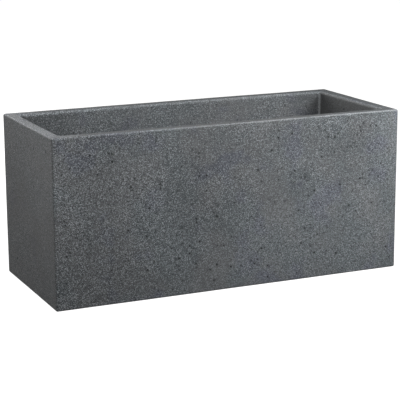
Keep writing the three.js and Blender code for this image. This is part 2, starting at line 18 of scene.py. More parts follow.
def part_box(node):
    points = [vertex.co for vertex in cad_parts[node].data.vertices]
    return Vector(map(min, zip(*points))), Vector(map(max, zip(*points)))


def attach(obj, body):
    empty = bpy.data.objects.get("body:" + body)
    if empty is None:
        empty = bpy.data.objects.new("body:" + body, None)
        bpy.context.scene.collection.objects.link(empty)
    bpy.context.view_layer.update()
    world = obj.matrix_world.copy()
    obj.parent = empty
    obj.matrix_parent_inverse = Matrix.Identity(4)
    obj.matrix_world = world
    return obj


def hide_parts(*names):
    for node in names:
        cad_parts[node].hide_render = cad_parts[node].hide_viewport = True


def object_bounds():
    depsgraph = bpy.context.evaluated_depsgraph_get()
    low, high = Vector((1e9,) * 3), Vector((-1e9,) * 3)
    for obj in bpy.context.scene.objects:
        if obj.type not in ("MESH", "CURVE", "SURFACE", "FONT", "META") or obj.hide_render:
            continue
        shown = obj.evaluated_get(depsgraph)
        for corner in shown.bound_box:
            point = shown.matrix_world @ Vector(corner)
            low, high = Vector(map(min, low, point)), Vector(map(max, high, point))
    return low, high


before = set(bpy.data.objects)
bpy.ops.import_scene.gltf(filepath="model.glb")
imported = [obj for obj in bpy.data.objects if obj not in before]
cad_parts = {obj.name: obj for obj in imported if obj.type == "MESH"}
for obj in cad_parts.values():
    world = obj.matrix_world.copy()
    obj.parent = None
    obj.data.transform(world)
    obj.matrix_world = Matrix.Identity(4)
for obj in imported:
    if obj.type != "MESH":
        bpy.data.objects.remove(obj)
cad_low, cad_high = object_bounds()
LENGTH, WIDTH, HEIGHT = (high - low for low, high in zip(cad_low, cad_high))
MM = 0.001
QUARTER_TURN = np.pi / 2
print("box:", [round(v, 4) for v in (*cad_low, *cad_high)])

# %% [markdown]
# ## Helpers for objects and nodes
#
# A few steps come back for every piece and every finish: adding an object to the scene, placing a
# node and giving it its inputs. Each is written once here, so that the later cells can speak about
# shapes and finishes only.


# %% Objects, nodes and groups
def added(name, data):
    """A new object for a mesh, a light or a camera, added to the scene."""
    thing = bpy.data.objects.new(name, data)
    bpy.context.scene.collection.objects.link(thing)
    return thing


def feed(tree, socket, value):
    """Gives an input a number or a colour, or links it to another node's output."""
    if isinstance(value, bpy.types.NodeSocket):
        tree.links.new(value, socket)
    else:
        socket.default_value = value


def put(tree, kind, settings=(), **inputs):
    """A node with its settings and its inputs, named with underscores for spaces."""
    node = tree.nodes.new(kind)
    for key, value in dict(settings).items():
        setattr(node, key, value)
    for key, value in inputs.items():
        feed(tree, node.inputs[key.replace("_", " ")], value)
    return node


def use(tree, group, **inputs):
    """A node group placed in a material, with its own values."""
    return put(tree, "ShaderNodeGroup", {"node_tree": group}, **inputs)


def maths(tree, operation, *values):
    """One step of arithmetic on numbers or sockets. It gives the result's socket."""
    node = put(tree, "ShaderNodeMath", {"operation": operation})
    for socket, value in zip(node.inputs, values):
        feed(tree, socket, value)
    return node.outputs[0]


def noise(tree, vector, scale, detail=2.0, roughness=0.5):
    """A cloudy random number between 0 and 1 at every point."""
    inputs = dict(Vector=vector, Scale=scale, Detail=detail, Roughness=roughness)
    return put(tree, "ShaderNodeTexNoise", **inputs).outputs["Fac"]


def span(tree, value, low, high, to_low=0.0, to_high=1.0, kind="SMOOTHSTEP"):
    """Maps low..high to a new range, with clamped ends, and smoothly unless another kind is named."""
    ends = dict(From_Min=low, From_Max=high, To_Min=to_low, To_Max=to_high)
    node = put(tree, "ShaderNodeMapRange", {"interpolation_type": kind}, Value=value, **ends)
    return node.outputs["Result"]


def mix_colour(tree, factor, a, b):
    """Colour a where the factor is 0, and colour b where it is 1."""
    node = put(tree, "ShaderNodeMix", {"data_type": "RGBA"})
    factor_socket, a_socket, b_socket = (node.inputs[number] for number in (0, 6, 7))
    for socket, value in ((factor_socket, factor), (a_socket, a), (b_socket, b)):
        feed(tree, socket, value)
    return node.outputs[2]


def new_group(name, inputs, outputs):
    """An empty shader node group with named number, colour or vector sockets."""
    tree = bpy.data.node_groups.new(name, "ShaderNodeTree")
    kinds = {"value": "NodeSocketFloat", "colour": "NodeSocketColor", "vector": "NodeSocketVector"}
    for socket, kind, default in inputs:
        made = tree.interface.new_socket(socket, in_out="INPUT", socket_type=kinds[kind])
        if default is not None:
            made.default_value = default
    for socket, kind in outputs:
        tree.interface.new_socket(socket, in_out="OUTPUT", socket_type=kinds[kind])
    return tree, tree.nodes.new("NodeGroupInput"), tree.nodes.new("NodeGroupOutput")


def new_material(name):
    """An empty material, with its node tree and its shader."""
    material = bpy.data.materials.new(name)
    material.use_nodes = True
    return material, material.node_tree, material.node_tree.nodes["Principled BSDF"]


def finish_shader(tree, shader, **inputs):
    """Gives a shader its inputs, named with underscores for spaces."""
    for key, value in inputs.items():
        feed(tree, shader.inputs[key.replace("_", " ")], value)


# %% [markdown]
# ## Camera
#
# A product shot from the front left, a little above the rim, with a long lens, so that upright edges
# stay nearly upright. The camera stands about four lengths away. Its place is given in lengths of
# the planter, and its aim as a turn about the vertical, a downward tilt and a very small roll.

# %% Place the camera
CAMERA_PLACE = Vector((-1.5759, -3.5126, 1.0951)) * LENGTH
CAMERA_TURN = 0.42041
CAMERA_TILT = 0.22871
CAMERA_ROLL = -0.006532
CAMERA_LENS = 128.2
SENSOR_WIDTH = 36
FARTHEST = 50


def camera_axes(turn, tilt, roll):
    """The camera's right, up and back axes: aim along +Y, turned towards +X, tilted down, rolled."""
    flat = math.cos(tilt)
    ahead = Vector((math.sin(turn) * flat, math.cos(turn) * flat, -math.sin(tilt)))
    level = Vector((math.cos(turn), -math.sin(turn), 0))
    upward = level.cross(ahead)
    right = math.cos(roll) * level + math.sin(roll) * upward
    up = -math.sin(roll) * level + math.cos(roll) * upward
    return right, up, -ahead


camera = added("camera", bpy.data.cameras.new("camera"))
camera.data.sensor_width = SENSOR_WIDTH
camera.data.lens = CAMERA_LENS
camera.data.clip_end = FARTHEST
axes = Matrix(camera_axes(CAMERA_TURN, CAMERA_TILT, CAMERA_ROLL)).transposed()
camera.matrix_world = Matrix.Translation(CAMERA_PLACE) @ axes.to_4x4()
bpy.context.scene.camera = camera
print("camera is", round(CAMERA_PLACE.length, 2), "m from the origin")

# %% [markdown]
# ## Floor, backdrop and light
#
# The object is dark and matt, so it is shown on white with broad, soft lights. Each light is a panel
# that looks at the planter's middle. The key panels stand in front and on the right, low and near
# enough for the front to fade towards the left and towards the ground. The panels on the left, above
# and behind only fill. A real white floor would throw light back up at the dark walls and flatten
# them, so this floor is white for the camera alone, and dark grey for every other ray. Its glow is a
# little weaker near the planter than far away: a faint painted shade round the base, so that the
# real shadow can show there.

# %% Build the studio
LIGHTS = [
    # name, place in lengths, panel size in lengths, power in watts
    ("key", (0.9, -1.4, 1.6), 0.8, 6.7),
    ("key_near", (0.6, -0.6, 1.1), 0.35, 2.5),
    ("key_low", (1.0, -0.8, 0.95), 0.35, 8.5),
    ("front_left", (-0.1, -0.7, 1.2), 0.4, 3.0),
    ("front_far", (-0.6, -1.0, 1.5), 0.6, 2.4),
    ("top", (0.8, 0.6, 2.4), 1.0, 12),
    ("back", (-0.5, 2.6, 1.2), 1.4, 30),
    ("left_fill", (-1.4, -0.2, 1.0), 0.8, 6.6),
]
WORLD_STRENGTH = 0.03
WHITE = (1, 1, 1, 1)
FLOOR_HALF = 30
FLOOR_GREY = (0.2, 0.2, 0.2, 1)
# Painted shade: the floor glows a little less near the planter's middle than far from it.
SHADE_REACH = (0.3, 1.2)
SHADE_GLOW = (0.93, 1.0)


def panel_light(name, place, size, power):
    """A square area light that looks at the middle of the planter."""
    light = bpy.data.lights.new(name, "AREA")
    light.shape = "SQUARE"
    light.size = size * LENGTH
    light.energy = power
    lamp = added(name, light)
    lamp.location = Vector(place) * LENGTH
    aim = Vector((0, 0, HEIGHT / 2)) - lamp.location
    lamp.rotation_euler = aim.to_track_quat("-Z", "Y").to_euler()


def camera_ray(tree):
    """1 for what the camera sees itself, and 0 for light that bounces."""
    return put(tree, "ShaderNodeLightPath").outputs["Is Camera Ray"]


for light in LIGHTS:
    panel_light(*light)

world = bpy.data.worlds.new("studio")
world.use_nodes = True
sky_tree = world.node_tree
sky_strength = maths(sky_tree, "MAXIMUM", camera_ray(sky_tree), WORLD_STRENGTH)
finish_shader(sky_tree, sky_tree.nodes["Background"], Color=WHITE, Strength=sky_strength)
bpy.context.scene.world = world
bpy.context.scene.view_settings.view_transform = "Standard"

floor_mesh = bpy.data.meshes.new("studio_floor")
floor_corners = [(x * FLOOR_HALF, y * FLOOR_HALF, 0) for x, y in ((-1, -1), (1, -1), (1, 1), (-1, 1))]
floor_mesh.from_pydata(floor_corners, [], [(0, 1, 2, 3)])
added("studio_floor", floor_mesh)

floor_paint, floor_tree, floor_shader = new_material("studio_floor")
floor_place = put(floor_tree, "ShaderNodeTexCoord").outputs["Object"]
from_middle = put(floor_tree, "ShaderNodeVectorMath", {"operation": "LENGTH"}, Vector=floor_place)
floor_glow = span(floor_tree, from_middle.outputs["Value"], *SHADE_REACH, *SHADE_GLOW, "LINEAR")
floor_glow = maths(floor_tree, "MULTIPLY", camera_ray(floor_tree), floor_glow)
floor_finish = dict(Base_Color=FLOOR_GREY, Roughness=0.9, Emission_Color=WHITE, Emission_Strength=floor_glow)
finish_shader(floor_tree, floor_shader, **floor_finish)
floor_mesh.materials.append(floor_paint)
print("lights:", [light[0] for light in LIGHTS])

# %% [markdown]
# ## Tools for surfaces
#
# Every new piece here is a grid: rows of points, joined to the next row by quads. One helper joins
# the rows, one puts the arrays into a mesh, and one turns a profile about an axis. Booleans cut
# openings into those solids and join them, because a grid alone can't hold a slot with round ends.
# A smooth random field is used wherever a moulded surface is a little uneven.

# %% Grids and meshes
SHARP_ANGLE = 35
DOUBLE = 1e-6


def quads_between(rows, columns, closed=True):
    """Quads of a grid whose point (row, column) has the number row * columns + column. A closed grid
    joins its last column to its first."""
    last = columns if closed else columns - 1
    row, column = np.meshgrid(np.arange(rows - 1), np.arange(last), indexing="ij")
    here, after = row * columns, (column + 1) % columns
    corners = [here + column, here + after, here + columns + after, here + columns + column]
    return np.stack(corners, axis=-1).reshape(-1, 4)


def mesh_object(name, points, faces, sharp_degrees=SHARP_ANGLE):
    """An object from an array of points and a list of faces. Doubled points are merged, which also
    closes seams and poles, and edges sharper than the angle stay crisp."""
    mesh = bpy.data.meshes.new(name)
    mesh.from_pydata(np.asarray(points, float).reshape(-1, 3).tolist(), [], faces)
    piece = added(name, mesh)
    merge_doubles(piece)
    crisp(piece, sharp_degrees)
    return piece


def merge_doubles(piece):
    """Merges points that lie on each other."""
    work = bmesh.new()
    work.from_mesh(piece.data)
    bmesh.ops.remove_doubles(work, verts=work.verts, dist=DOUBLE)
    work.to_mesh(piece.data)
    work.free()


def crisp(piece, degrees=SHARP_ANGLE):
    """Smooth shading, except over edges that turn by more than the angle."""
    piece.data.shade_smooth()
    piece.data.set_sharp_from_angle(angle=math.radians(degrees))


def aimed(x, y, z, towards, centre):
    """Points of a shape that stands on Z, laid down along Y if asked, and moved to a centre."""
    return np.stack([x, z, -y] if towards == "+Y" else [x, y, z], axis=-1) + np.array(centre)


def turned(name, profile, sides=48, centre=(0, 0, 0), towards="+Z"):
    """A shape turned about an axis. The profile lists (radius, height) with the outside first, from
    the bottom up, and every point of it goes round a circle. Ends on the axis close into poles."""
    radius, height = np.array(profile, float).T
    angle = np.arange(sides) * 2 * np.pi / sides
    x = radius[:, None] * np.cos(angle)
    y = radius[:, None] * np.sin(angle)
    z = np.broadcast_to(height[:, None], x.shape)
    return mesh_object(name, aimed(x, y, z, towards, centre), quads_between(len(profile), sides).tolist())


def rod_profile(radius, low, high):
    """The profile of a plain round rod with flat ends."""
    return [(0, low), (radius, low), (radius, high), (0, high)]


# %% Booleans, a random field and the hand-over
def apply_modifiers(piece):
    """Replaces a piece's mesh by what its modifiers make of it."""
    ready = piece.evaluated_get(bpy.context.evaluated_depsgraph_get())
    mesh = bpy.data.meshes.new_from_object(ready)
    piece.modifiers.clear()
    piece.data = mesh


def boolean(operation, piece, tools):
    """Changes a piece by closed tools, one after the other, and removes the tools."""
    for tool in tools:
        step = piece.modifiers.new("boolean", "BOOLEAN")
        step.operation = operation
        step.solver = "EXACT"
        step.object = tool
        apply_modifiers(piece)
        bpy.data.objects.remove(tool)


def cut_with(piece, *tools):
    """Cuts closed tools out of a piece."""
    boolean("DIFFERENCE", piece, tools)


def fuse(piece, *others):
    """Joins closed pieces into the first one."""
    boolean("UNION", piece, others)


def random_field(points, wavelength, seed, waves=28):
    """A smooth random field between about -1 and 1: the mean of many plane waves with random
    directions and phases, all with roughly one wavelength."""
    draw = np.random.default_rng(seed)
    heading = draw.normal(size=(waves, 3))
    heading /= np.linalg.norm(heading, axis=1, keepdims=True)
    stretch = 2 * np.pi / (wavelength * draw.uniform(0.7, 1.5, size=(waves, 1)))
    phase = draw.uniform(0, 2 * np.pi, size=waves)
    return np.cos(points @ (heading * stretch).T + phase).sum(axis=-1) * math.sqrt(2 / waves) / 2


def finished(piece, body, material, node):
    """Gives a piece its finish and its body, and hides the CAD node that it stands for. Its
    normals are weighted by face area first, so that wide flats stay flat beside narrow roundings."""
    weigh = piece.modifiers.new("weighted_normals", "WEIGHTED_NORMAL")
    weigh.keep_sharp = True
    apply_modifiers(piece)
    piece.data.materials.clear()
    piece.data.materials.append(material)
    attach(piece, body)
    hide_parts(node)
    print(piece.name, len(piece.data.polygons), "faces")


# %% [markdown]
# ## Stone-look finish
#
# The plastic is filled with mineral powder and its face is blasted, so that it looks like fine dark
# concrete. Three effects make that look. Large soft patches drift between a cool blue-green grey and
# a neutral grey. A fine grain of light and dark specks, little more than a millimetre across, covers
# everything. And small pores are strewn over it, painted dark with the shade inside them. Each is a
# node group, so that any other stone-look piece can take it with other values. A painted highlight on
# rubbed edges and corners, and painted shade in corners, on the rim and in deep hollows, belong to this
# trough alone, so the material reads them from marks on its points.


# %% Groups of the stone look
def patches_group():
    """Patches: three colours that drift into each other over 5 to 15 cm, and a slow change of shade."""
    grey = (0.1, 0.1, 0.1, 1)
    sockets = [("Vector", "vector", None)]
    sockets += [(socket, "colour", grey) for socket in ("Neutral", "Cool", "Blue")]
    tree, start, end = new_group("stone_patches", sockets, [("Color", "colour")])
    where = start.outputs["Vector"]
    cool = span(tree, noise(tree, where, 10.0), 0.38, 0.62)
    blue = span(tree, noise(tree, where, 15.0), 0.54, 0.70)
    first = mix_colour(tree, cool, start.outputs["Neutral"], start.outputs["Cool"])
    second = mix_colour(tree, blue, first, start.outputs["Blue"])
    shade = span(tree, noise(tree, where, 4.2), 0.34, 0.66, 0.80, 1.20)
    toned = put(tree, "ShaderNodeVectorMath", {"operation": "SCALE"}, Vector=second, Scale=shade)
    tree.links.new(toned.outputs["Vector"], end.inputs["Color"])
    return tree


def grain_group():
    """Grain: mineral crumbs. Each small cell draws a number. The highest are light specks, the lowest
    are dark ones, and a slow noise makes the grain stronger here and weaker there."""
    tree, start, end = new_group(
        "stone_grain",
        [("Vector", "vector", None), ("Size", "value", 0.0018)],
        [("Light", "value"), ("Dark", "value"), ("Height", "value")],
    )
    where = start.outputs["Vector"]
    scale = maths(tree, "DIVIDE", 1.0, start.outputs["Size"])
    crumbs = put(tree, "ShaderNodeTexVoronoi", Vector=where, Scale=scale, Randomness=1.0)
    draw = put(tree, "ShaderNodeSeparateColor", Color=crumbs.outputs["Color"])
    fine = noise(tree, where, 1100.0, 1.0)
    slow = span(tree, noise(tree, where, 9.0, 1.0), 0.35, 0.65, 0.65, 1.0)
    number = maths(tree, "MULTIPLY_ADD", maths(tree, "SUBTRACT", fine, 0.5), 0.5, draw.outputs[0])
    light = span(tree, number, 0.66, 0.98)
    dark = span(tree, number, 0.36, 0.04)
    tree.links.new(maths(tree, "MULTIPLY", light, slow), end.inputs["Light"])
    tree.links.new(maths(tree, "MULTIPLY", dark, slow), end.inputs["Dark"])
    tree.links.new(maths(tree, "MULTIPLY_ADD", draw.outputs[1], 0.5, fine), end.inputs["Height"])
    return tree


def pores_group():
    """Pores: round spots strewn at random, painted dark with the shade inside each hollow, and their
    height. Each cell of a cell pattern holds at most one, and the cell's own random number says
    whether it does and how wide it is."""
    tree, start, end = new_group(
        "stone_pores",
        [("Vector", "vector", None), ("Scale", "value", 90.0), ("Share", "value", 0.3)],
        [("Mask", "value"), ("Height", "value")],
    )
    place = dict(Vector=start.outputs["Vector"], Scale=start.outputs["Scale"])
    cells = put(tree, "ShaderNodeTexVoronoi", Randomness=1.0, **place)
    draw = put(tree, "ShaderNodeSeparateColor", Color=cells.outputs["Color"])
    chosen = maths(tree, "LESS_THAN", draw.outputs[0], start.outputs["Share"])
    width = maths(tree, "MULTIPLY_ADD", draw.outputs[1], 0.12, 0.10)
    depth = maths(tree, "SUBTRACT", 1.0, maths(tree, "DIVIDE", cells.outputs["Distance"], width))
    mask = maths(tree, "MULTIPLY", span(tree, depth, 0.0, 0.4), chosen)
    tree.links.new(mask, end.inputs["Mask"])
    tree.links.new(maths(tree, "MULTIPLY", mask, -1.0), end.inputs["Height"])
    return tree


PATCHES = patches_group()
GRAIN = grain_group()
PORES = pores_group()
print("groups:", [g.name for g in (PATCHES, GRAIN, PORES)])

# %% The stone-look material
PATCH_COLOURS = {
    "Neutral": (0.099, 0.104, 0.108, 1),
    "Cool": (0.082, 0.094, 0.100, 1),
    "Blue": (0.079, 0.086, 0.104, 1),
}
END_GREY = (0.090, 0.089, 0.087, 1)
LIGHT_SPECK = (0.34, 0.362, 0.385, 1)
DARK_SPECK = (0.022, 0.024, 0.026, 1)
HIGHLIGHT_GREY = (0.21, 0.22, 0.225, 1)
PAINTED_SHADE_DARK = (0.03, 0.031, 0.032, 1)
PORE_SHADE_BLACK = (0.014, 0.015, 0.016, 1)
HOLLOW_SHADE_BLACK = (0.008, 0.008, 0.009, 1)
GRAIN_SIZE = 0.0013


def mark(tree, name):
    """The value of one of the marks on the trough's points."""
    return put(tree, "ShaderNodeAttribute", {"attribute_name": name}).outputs["Fac"]


def stone_material():
    """The finish of the trough. The ends are smoother and browner than the long walls, the grain is
    stronger towards the left, and then come specks, a painted highlight on rubbed edges, painted shade
    in corners and on the rim, and pores and hollows darkened with painted shade."""
    material, tree, shader = new_material("stone_look_plastic")
    coordinates = put(tree, "ShaderNodeTexCoord")
    where = coordinates.outputs["Object"]
    facing = put(tree, "ShaderNodeSeparateXYZ", Vector=coordinates.outputs["Normal"]).outputs["X"]
    ends = span(tree, maths(tree, "ABSOLUTE", facing), 0.5, 0.95)
    along = put(tree, "ShaderNodeSeparateXYZ", Vector=where).outputs["X"]
    coarse = span(tree, along, -0.40, -0.10, 1.5, 0.86)
    strength = maths(tree, "MULTIPLY", maths(tree, "MULTIPLY_ADD", ends, -0.45, 1.0), coarse)
    patches = use(tree, PATCHES, Vector=where, **PATCH_COLOURS)
    grain = use(tree, GRAIN, Vector=where, Size=GRAIN_SIZE)
    pores = use(tree, PORES, Vector=where, Scale=100.0, Share=0.40)
    # Painted highlight: the rounded edges and corners are lighter. They are also rubbed smoother, which
    # lowers the roughness below.
    rubbed = mark(tree, "rub_and_highlight")
    layers = [
        (ends, 0.7, END_GREY),
        (grain.outputs["Light"], maths(tree, "MULTIPLY", strength, 0.80), LIGHT_SPECK),
        (grain.outputs["Dark"], maths(tree, "MULTIPLY", strength, 1.05), DARK_SPECK),
        # painted highlight on rounded edges and corners
        (rubbed, 0.5, HIGHLIGHT_GREY),
        # painted shade in the inner corners, inside the trough, on the rim and on the left outer corners
        (mark(tree, "painted_shade"), 0.8, PAINTED_SHADE_DARK),
        # painted shade inside the small pores
        (pores.outputs["Mask"], 0.85, PORE_SHADE_BLACK),
        # painted shade inside the sunk hollows
        (mark(tree, "pit"), 0.9, HOLLOW_SHADE_BLACK),
    ]
    colour = patches.outputs["Color"]
    for mask, most, layer_colour in layers:
        colour = mix_colour(tree, maths(tree, "MULTIPLY", mask, most), colour, layer_colour)
    height = maths(tree, "MULTIPLY_ADD", pores.outputs["Height"], 0.8, grain.outputs["Height"])
    bump = put(tree, "ShaderNodeBump", Height=height, Strength=0.4, Distance=0.0006)
    roughness = maths(tree, "MULTIPLY_ADD", rubbed, -0.34, 0.74)
    finish_shader(tree, shader, Base_Color=colour, Roughness=roughness, Normal=bump.outputs["Normal"])
    finish_shader(tree, shader, Specular_IOR_Level=0.4)
    return material


STONE = stone_material()

# %% [markdown]
# ## The trough
#
# The real trough is one rotation-moulded skin that runs out over the foot ring, up the outside, over
# the rim, down the inside and across the inner floor. It could be a box with bevels, but the skin is
# easier to control as one grid. A profile is carried round a rounded rectangle: each profile point
# has a height, a distance in from the outside, and its own corner radius. At both ends the profile
# reaches the middle line, where the front and the back meet and are merged, so the skin closes.
#
# A moulded wall is never quite flat, so a slow random field pushes it in by up to half a millimetre,
# and never out, so that the trough stays inside its true size.

# %% Sizes of the trough
RIM_WIDTH = 27 * MM
EDGE_RADIUS = 4 * MM
INNER_CORNER = 10 * MM
BASE_ROUND = 4 * MM
RIM_OUTER_ROUND = 4 * MM
RIM_INNER_ROUND = 7 * MM
FLOOR_ROUND = 6 * MM
FLOOR_HEIGHT = 24 * MM
FOOT_WIDTH = 32 * MM
FOOT_DEPTH = 5 * MM
DRAFT = 6 * MM
CELL = 8 * MM
FLOOR_CELL = 20 * MM
RIM_CELL = 5 * MM
ROUND_STEPS = 7
CORNER_SHRINK = 0.8


def spaced(start, end, cell):
    """Evenly spaced numbers from start to end, about one cell apart, without the start."""
    count = max(1, round(abs(end - start) / cell))
    return np.linspace(start, end, count + 1)[1:]


def quarter(radius):
    """A quarter circle as (rise, inset) pairs, from flat on the ground to upright."""
    angle = np.linspace(0, QUARTER_TURN, ROUND_STEPS + 1)
    return radius * (1 - np.cos(angle)), radius * (1 - np.sin(angle))


# %% The profile and the way round
def trough_profile():
    """The skin's profile as three arrays: height, distance in from the outside, and corner radius.
    Also the first and last numbers of the outer wall's and the inner wall's levels."""
    parts = []

    def add(z, inset, radius):
        """Adds levels to the profile, and gives the number of the last one so far."""
        z, inset, radius = np.broadcast_arrays(np.atleast_1d(z), inset, radius)
        parts.append(np.stack([z, inset, radius], axis=1))
        return sum(len(p) for p in parts) - 1

    # The underside, from the middle line to the inner side of the foot ring, and down that side.
    middle = WIDTH / 2
    under = np.append(spaced(0, middle - FOOT_WIDTH, FLOOR_CELL)[::-1], 0)[1:]
    insets = middle - np.append(0, under[::-1][1:])
    insets = np.append(insets, FOOT_WIDTH + 1 * MM)
    add(FOOT_DEPTH, insets, np.minimum(INNER_CORNER, middle - insets))
    foot_side = [FOOT_DEPTH - 0.3 * MM, 1 * MM, 0.2 * MM, 0]
    add(foot_side, FOOT_WIDTH - np.array([0, 0, 0.3, 1.0]) * MM, INNER_CORNER)
    add(0, spaced(FOOT_WIDTH - 2 * MM, BASE_ROUND, CELL)[:-1], EDGE_RADIUS)

    # Up the outside, with a quarter circle at the base and another at the rim.
    rise, inset = quarter(BASE_ROUND)
    outer_start = add(rise, inset, EDGE_RADIUS - inset * CORNER_SHRINK)
    outer_end = add(spaced(BASE_ROUND, HEIGHT - RIM_OUTER_ROUND, CELL), 0, EDGE_RADIUS)
    rise, inset = (half[::-1][1:] for half in quarter(RIM_OUTER_ROUND))
    add(HEIGHT - rise, inset, EDGE_RADIUS - inset * CORNER_SHRINK)

    # Over the flat of the rim, whose corner radius grows from the outer one to the inner one.
    mouth = RIM_WIDTH - RIM_INNER_ROUND
    flat = spaced(RIM_OUTER_ROUND, mouth, RIM_CELL)[:-1]
    share = (flat - RIM_OUTER_ROUND) / (mouth - RIM_OUTER_ROUND)
    add(HEIGHT, flat, MM + share * (INNER_CORNER + RIM_INNER_ROUND - MM))

    # Down the inside, which leans in by its draft, and across the floor to the middle line.
    rise, flare = quarter(RIM_INNER_ROUND)
    lean = DRAFT * rise / (HEIGHT - FLOOR_HEIGHT)
    inner_start = add(HEIGHT - rise, RIM_WIDTH + lean - flare, INNER_CORNER + flare)
    down = spaced(HEIGHT - RIM_INNER_ROUND, FLOOR_HEIGHT + FLOOR_ROUND, CELL)
    lean = DRAFT * (HEIGHT - down) / (HEIGHT - FLOOR_HEIGHT)
    inner_end = add(down, RIM_WIDTH + lean, INNER_CORNER)
    rise, inset = (half[::-1][1:] for half in quarter(FLOOR_ROUND))
    at_floor = RIM_WIDTH + DRAFT
    add(FLOOR_HEIGHT + rise, at_floor + inset, INNER_CORNER)
    towards = np.append(spaced(at_floor + FLOOR_ROUND, middle - 4 * MM, FLOOR_CELL), middle)
    add(FLOOR_HEIGHT, towards, np.minimum(INNER_CORNER, middle - towards))
    return np.concatenate(parts).T, (outer_start, outer_end), (inner_start, inner_end)


def rectangle_round():
    """The rounded rectangle's points as four arrays that any level can use: how far along its
    straight half-length and half-width a point is (-1 to 1), and the way that its corner faces."""
    turn = np.linspace(0, QUARTER_TURN, ROUND_STEPS + 1)
    columns = []
    for number, side in enumerate((WIDTH, LENGTH, WIDTH, LENGTH)):
        facing = number * QUARTER_TURN
        along = np.linspace(-1, 1, round(side / CELL) + 1)[1:-1]
        cos, sin = round(math.cos(facing)), round(math.sin(facing))
        straight = [cos - sin * along, sin + cos * along, cos + 0 * along, sin + 0 * along]
        bend = facing + turn
        corner = [cos - sin + 0 * bend, sin + cos + 0 * bend, np.cos(bend), np.sin(bend)]
        columns += [np.stack(straight), np.stack(corner)]
    return np.concatenate(columns, axis=1)


(level_z, level_inset, level_radius), OUTER_LEVELS, INNER_LEVELS = trough_profile()
along_x, along_y, face_x, face_y = rectangle_round()
print("levels:", len(level_z), "points round:", len(along_x))

# %% Carry the profile round
WALL_WAVE = 0.5 * MM
LONG_WAVE = 0.26
SHORT_WAVE = 0.045
SHORT_WAVE_SHARE = 0.35


def skin_points():
    """Point = straight part + corner radius times the way the corner faces, at every level."""
    half_x = (LENGTH / 2 - level_inset - level_radius)[:, None]
    half_y = (WIDTH / 2 - level_inset - level_radius)[:, None]
    x = along_x * half_x + level_radius[:, None] * face_x
    y = along_y * half_y + level_radius[:, None] * face_y
    return np.stack([x, y, np.broadcast_to(level_z[:, None], x.shape)], axis=-1)


def grid_normals(points):
    """Normals from the steps along the rows and along the columns."""
    across = np.roll(points, -1, axis=1) - np.roll(points, 1, axis=1)
    up = np.gradient(points, axis=0)
    normal = np.cross(across, up)
    return normal / np.maximum(np.linalg.norm(normal, axis=-1, keepdims=True), 1e-12)


skin = skin_points()
skin_normal = grid_normals(skin)
first, last = OUTER_LEVELS[0] - ROUND_STEPS, INNER_LEVELS[1]
walls = slice(first, last + 1)
slow = random_field(skin[walls], LONG_WAVE, 11)
slow = slow + SHORT_WAVE_SHARE * random_field(skin[walls], SHORT_WAVE, 12)
wave = np.zeros(skin.shape[:2])
wave[walls] = WALL_WAVE * (0.5 + 0.4 * slow).clip(0, 1)
skin = skin - skin_normal * wave[..., None]
skin[..., 2] = np.maximum(skin[..., 2], 0)
print("skin grid:", skin.shape[:2])

# %% [markdown]
# ### Painted highlight on rubbed edges, and painted shade
#
# The rim's rounded edges, the inner corners and the outer corners on the right are painted lighter.
# This painted highlight is strongest along the right of the outer rim edge, and these edges are also
# rubbed smoother. Painted shade darkens the inside near its corners and towards both ends, the rim
# towards the right and the outer corners on the left. Both follow the shape, so they are numbers on
# the skin's points and not a pattern in the material: one peaks in the middle of each rounded edge,
# and the other fades away from the inner corners. A random field breaks up the highlight lines.

# %% Mark the painted highlight on rubbed edges
# Painted highlight: the outer rim edge grows lighter from left to right, and the inner rim edge is lighter
# evenly.
RIM_RUB_HIGHLIGHT_LEFT, RIM_RUB_HIGHLIGHT_RIGHT = 0.2, 1.15
MOUTH_RUB_HIGHLIGHT = 0.3

rub_and_highlight = np.zeros(skin.shape[:2])
from_left = (skin[..., 0] / LENGTH + 0.5).clip(0, 1)
mouth_start = INNER_LEVELS[0] - ROUND_STEPS
edges = ((OUTER_LEVELS[1], RIM_RUB_HIGHLIGHT_LEFT, RIM_RUB_HIGHLIGHT_RIGHT), (mouth_start, MOUTH_RUB_HIGHLIGHT, MOUTH_RUB_HIGHLIGHT))
for start, at_left, at_right in edges:
    rows = np.arange(start, start + ROUND_STEPS + 1)
    over_edge = np.sin(np.linspace(0, np.pi, len(rows)))[:, None] ** 4
    rub_and_highlight[rows] = (at_left + (at_right - at_left) * from_left[rows]) * over_edge
corner = 1 - np.maximum(np.abs(face_x), np.abs(face_y))
corner_nearness = (corner / corner.max()) ** 2
inside = slice(INNER_LEVELS[0], INNER_LEVELS[1] + 1)
outside = slice(first, OUTER_LEVELS[1] + 1)
# Painted highlight down the middle of each inner corner and of the outer corners on the right.
rub_and_highlight[inside] = np.maximum(rub_and_highlight[inside], corner_nearness)
rub_and_highlight[outside] = np.maximum(rub_and_highlight[outside], corner_nearness * (face_x > 0))
rub_and_highlight *= (0.75 + 0.35 * random_field(skin, 0.03, 31)).clip(0, 1)
print("rubbed points:", int((rub_and_highlight > 0.1).sum()))

# %% Mark painted shade
# Painted shade: darker inside near the corners and towards both ends, along the rim towards the right, and
# down the left outer corners.
CORNER_SHADE_REACH = 45 * MM
RIGHT_END_REACH = 40 * MM
LEFT_SHADE_SHARE = 0.4
RIM_SHADE_START, RIM_SHADE_FADE = 20 * MM, 60 * MM
CORNER_SHADE = 0.35

reach = np.abs(skin[..., :2])
to_corner = np.linalg.norm(reach - reach.max(axis=1, keepdims=True), axis=-1)
to_right = (from_left.max() - from_left) * LENGTH
shade_level = 0.2 + 0.4 * (1 - from_left / LEFT_SHADE_SHARE).clip(0, 1) + 0.3 * np.exp(-to_right / RIGHT_END_REACH)
unshaded = (1 - shade_level) * (1 - np.exp(-to_corner / CORNER_SHADE_REACH))
painted_shade = np.zeros(skin.shape[:2])
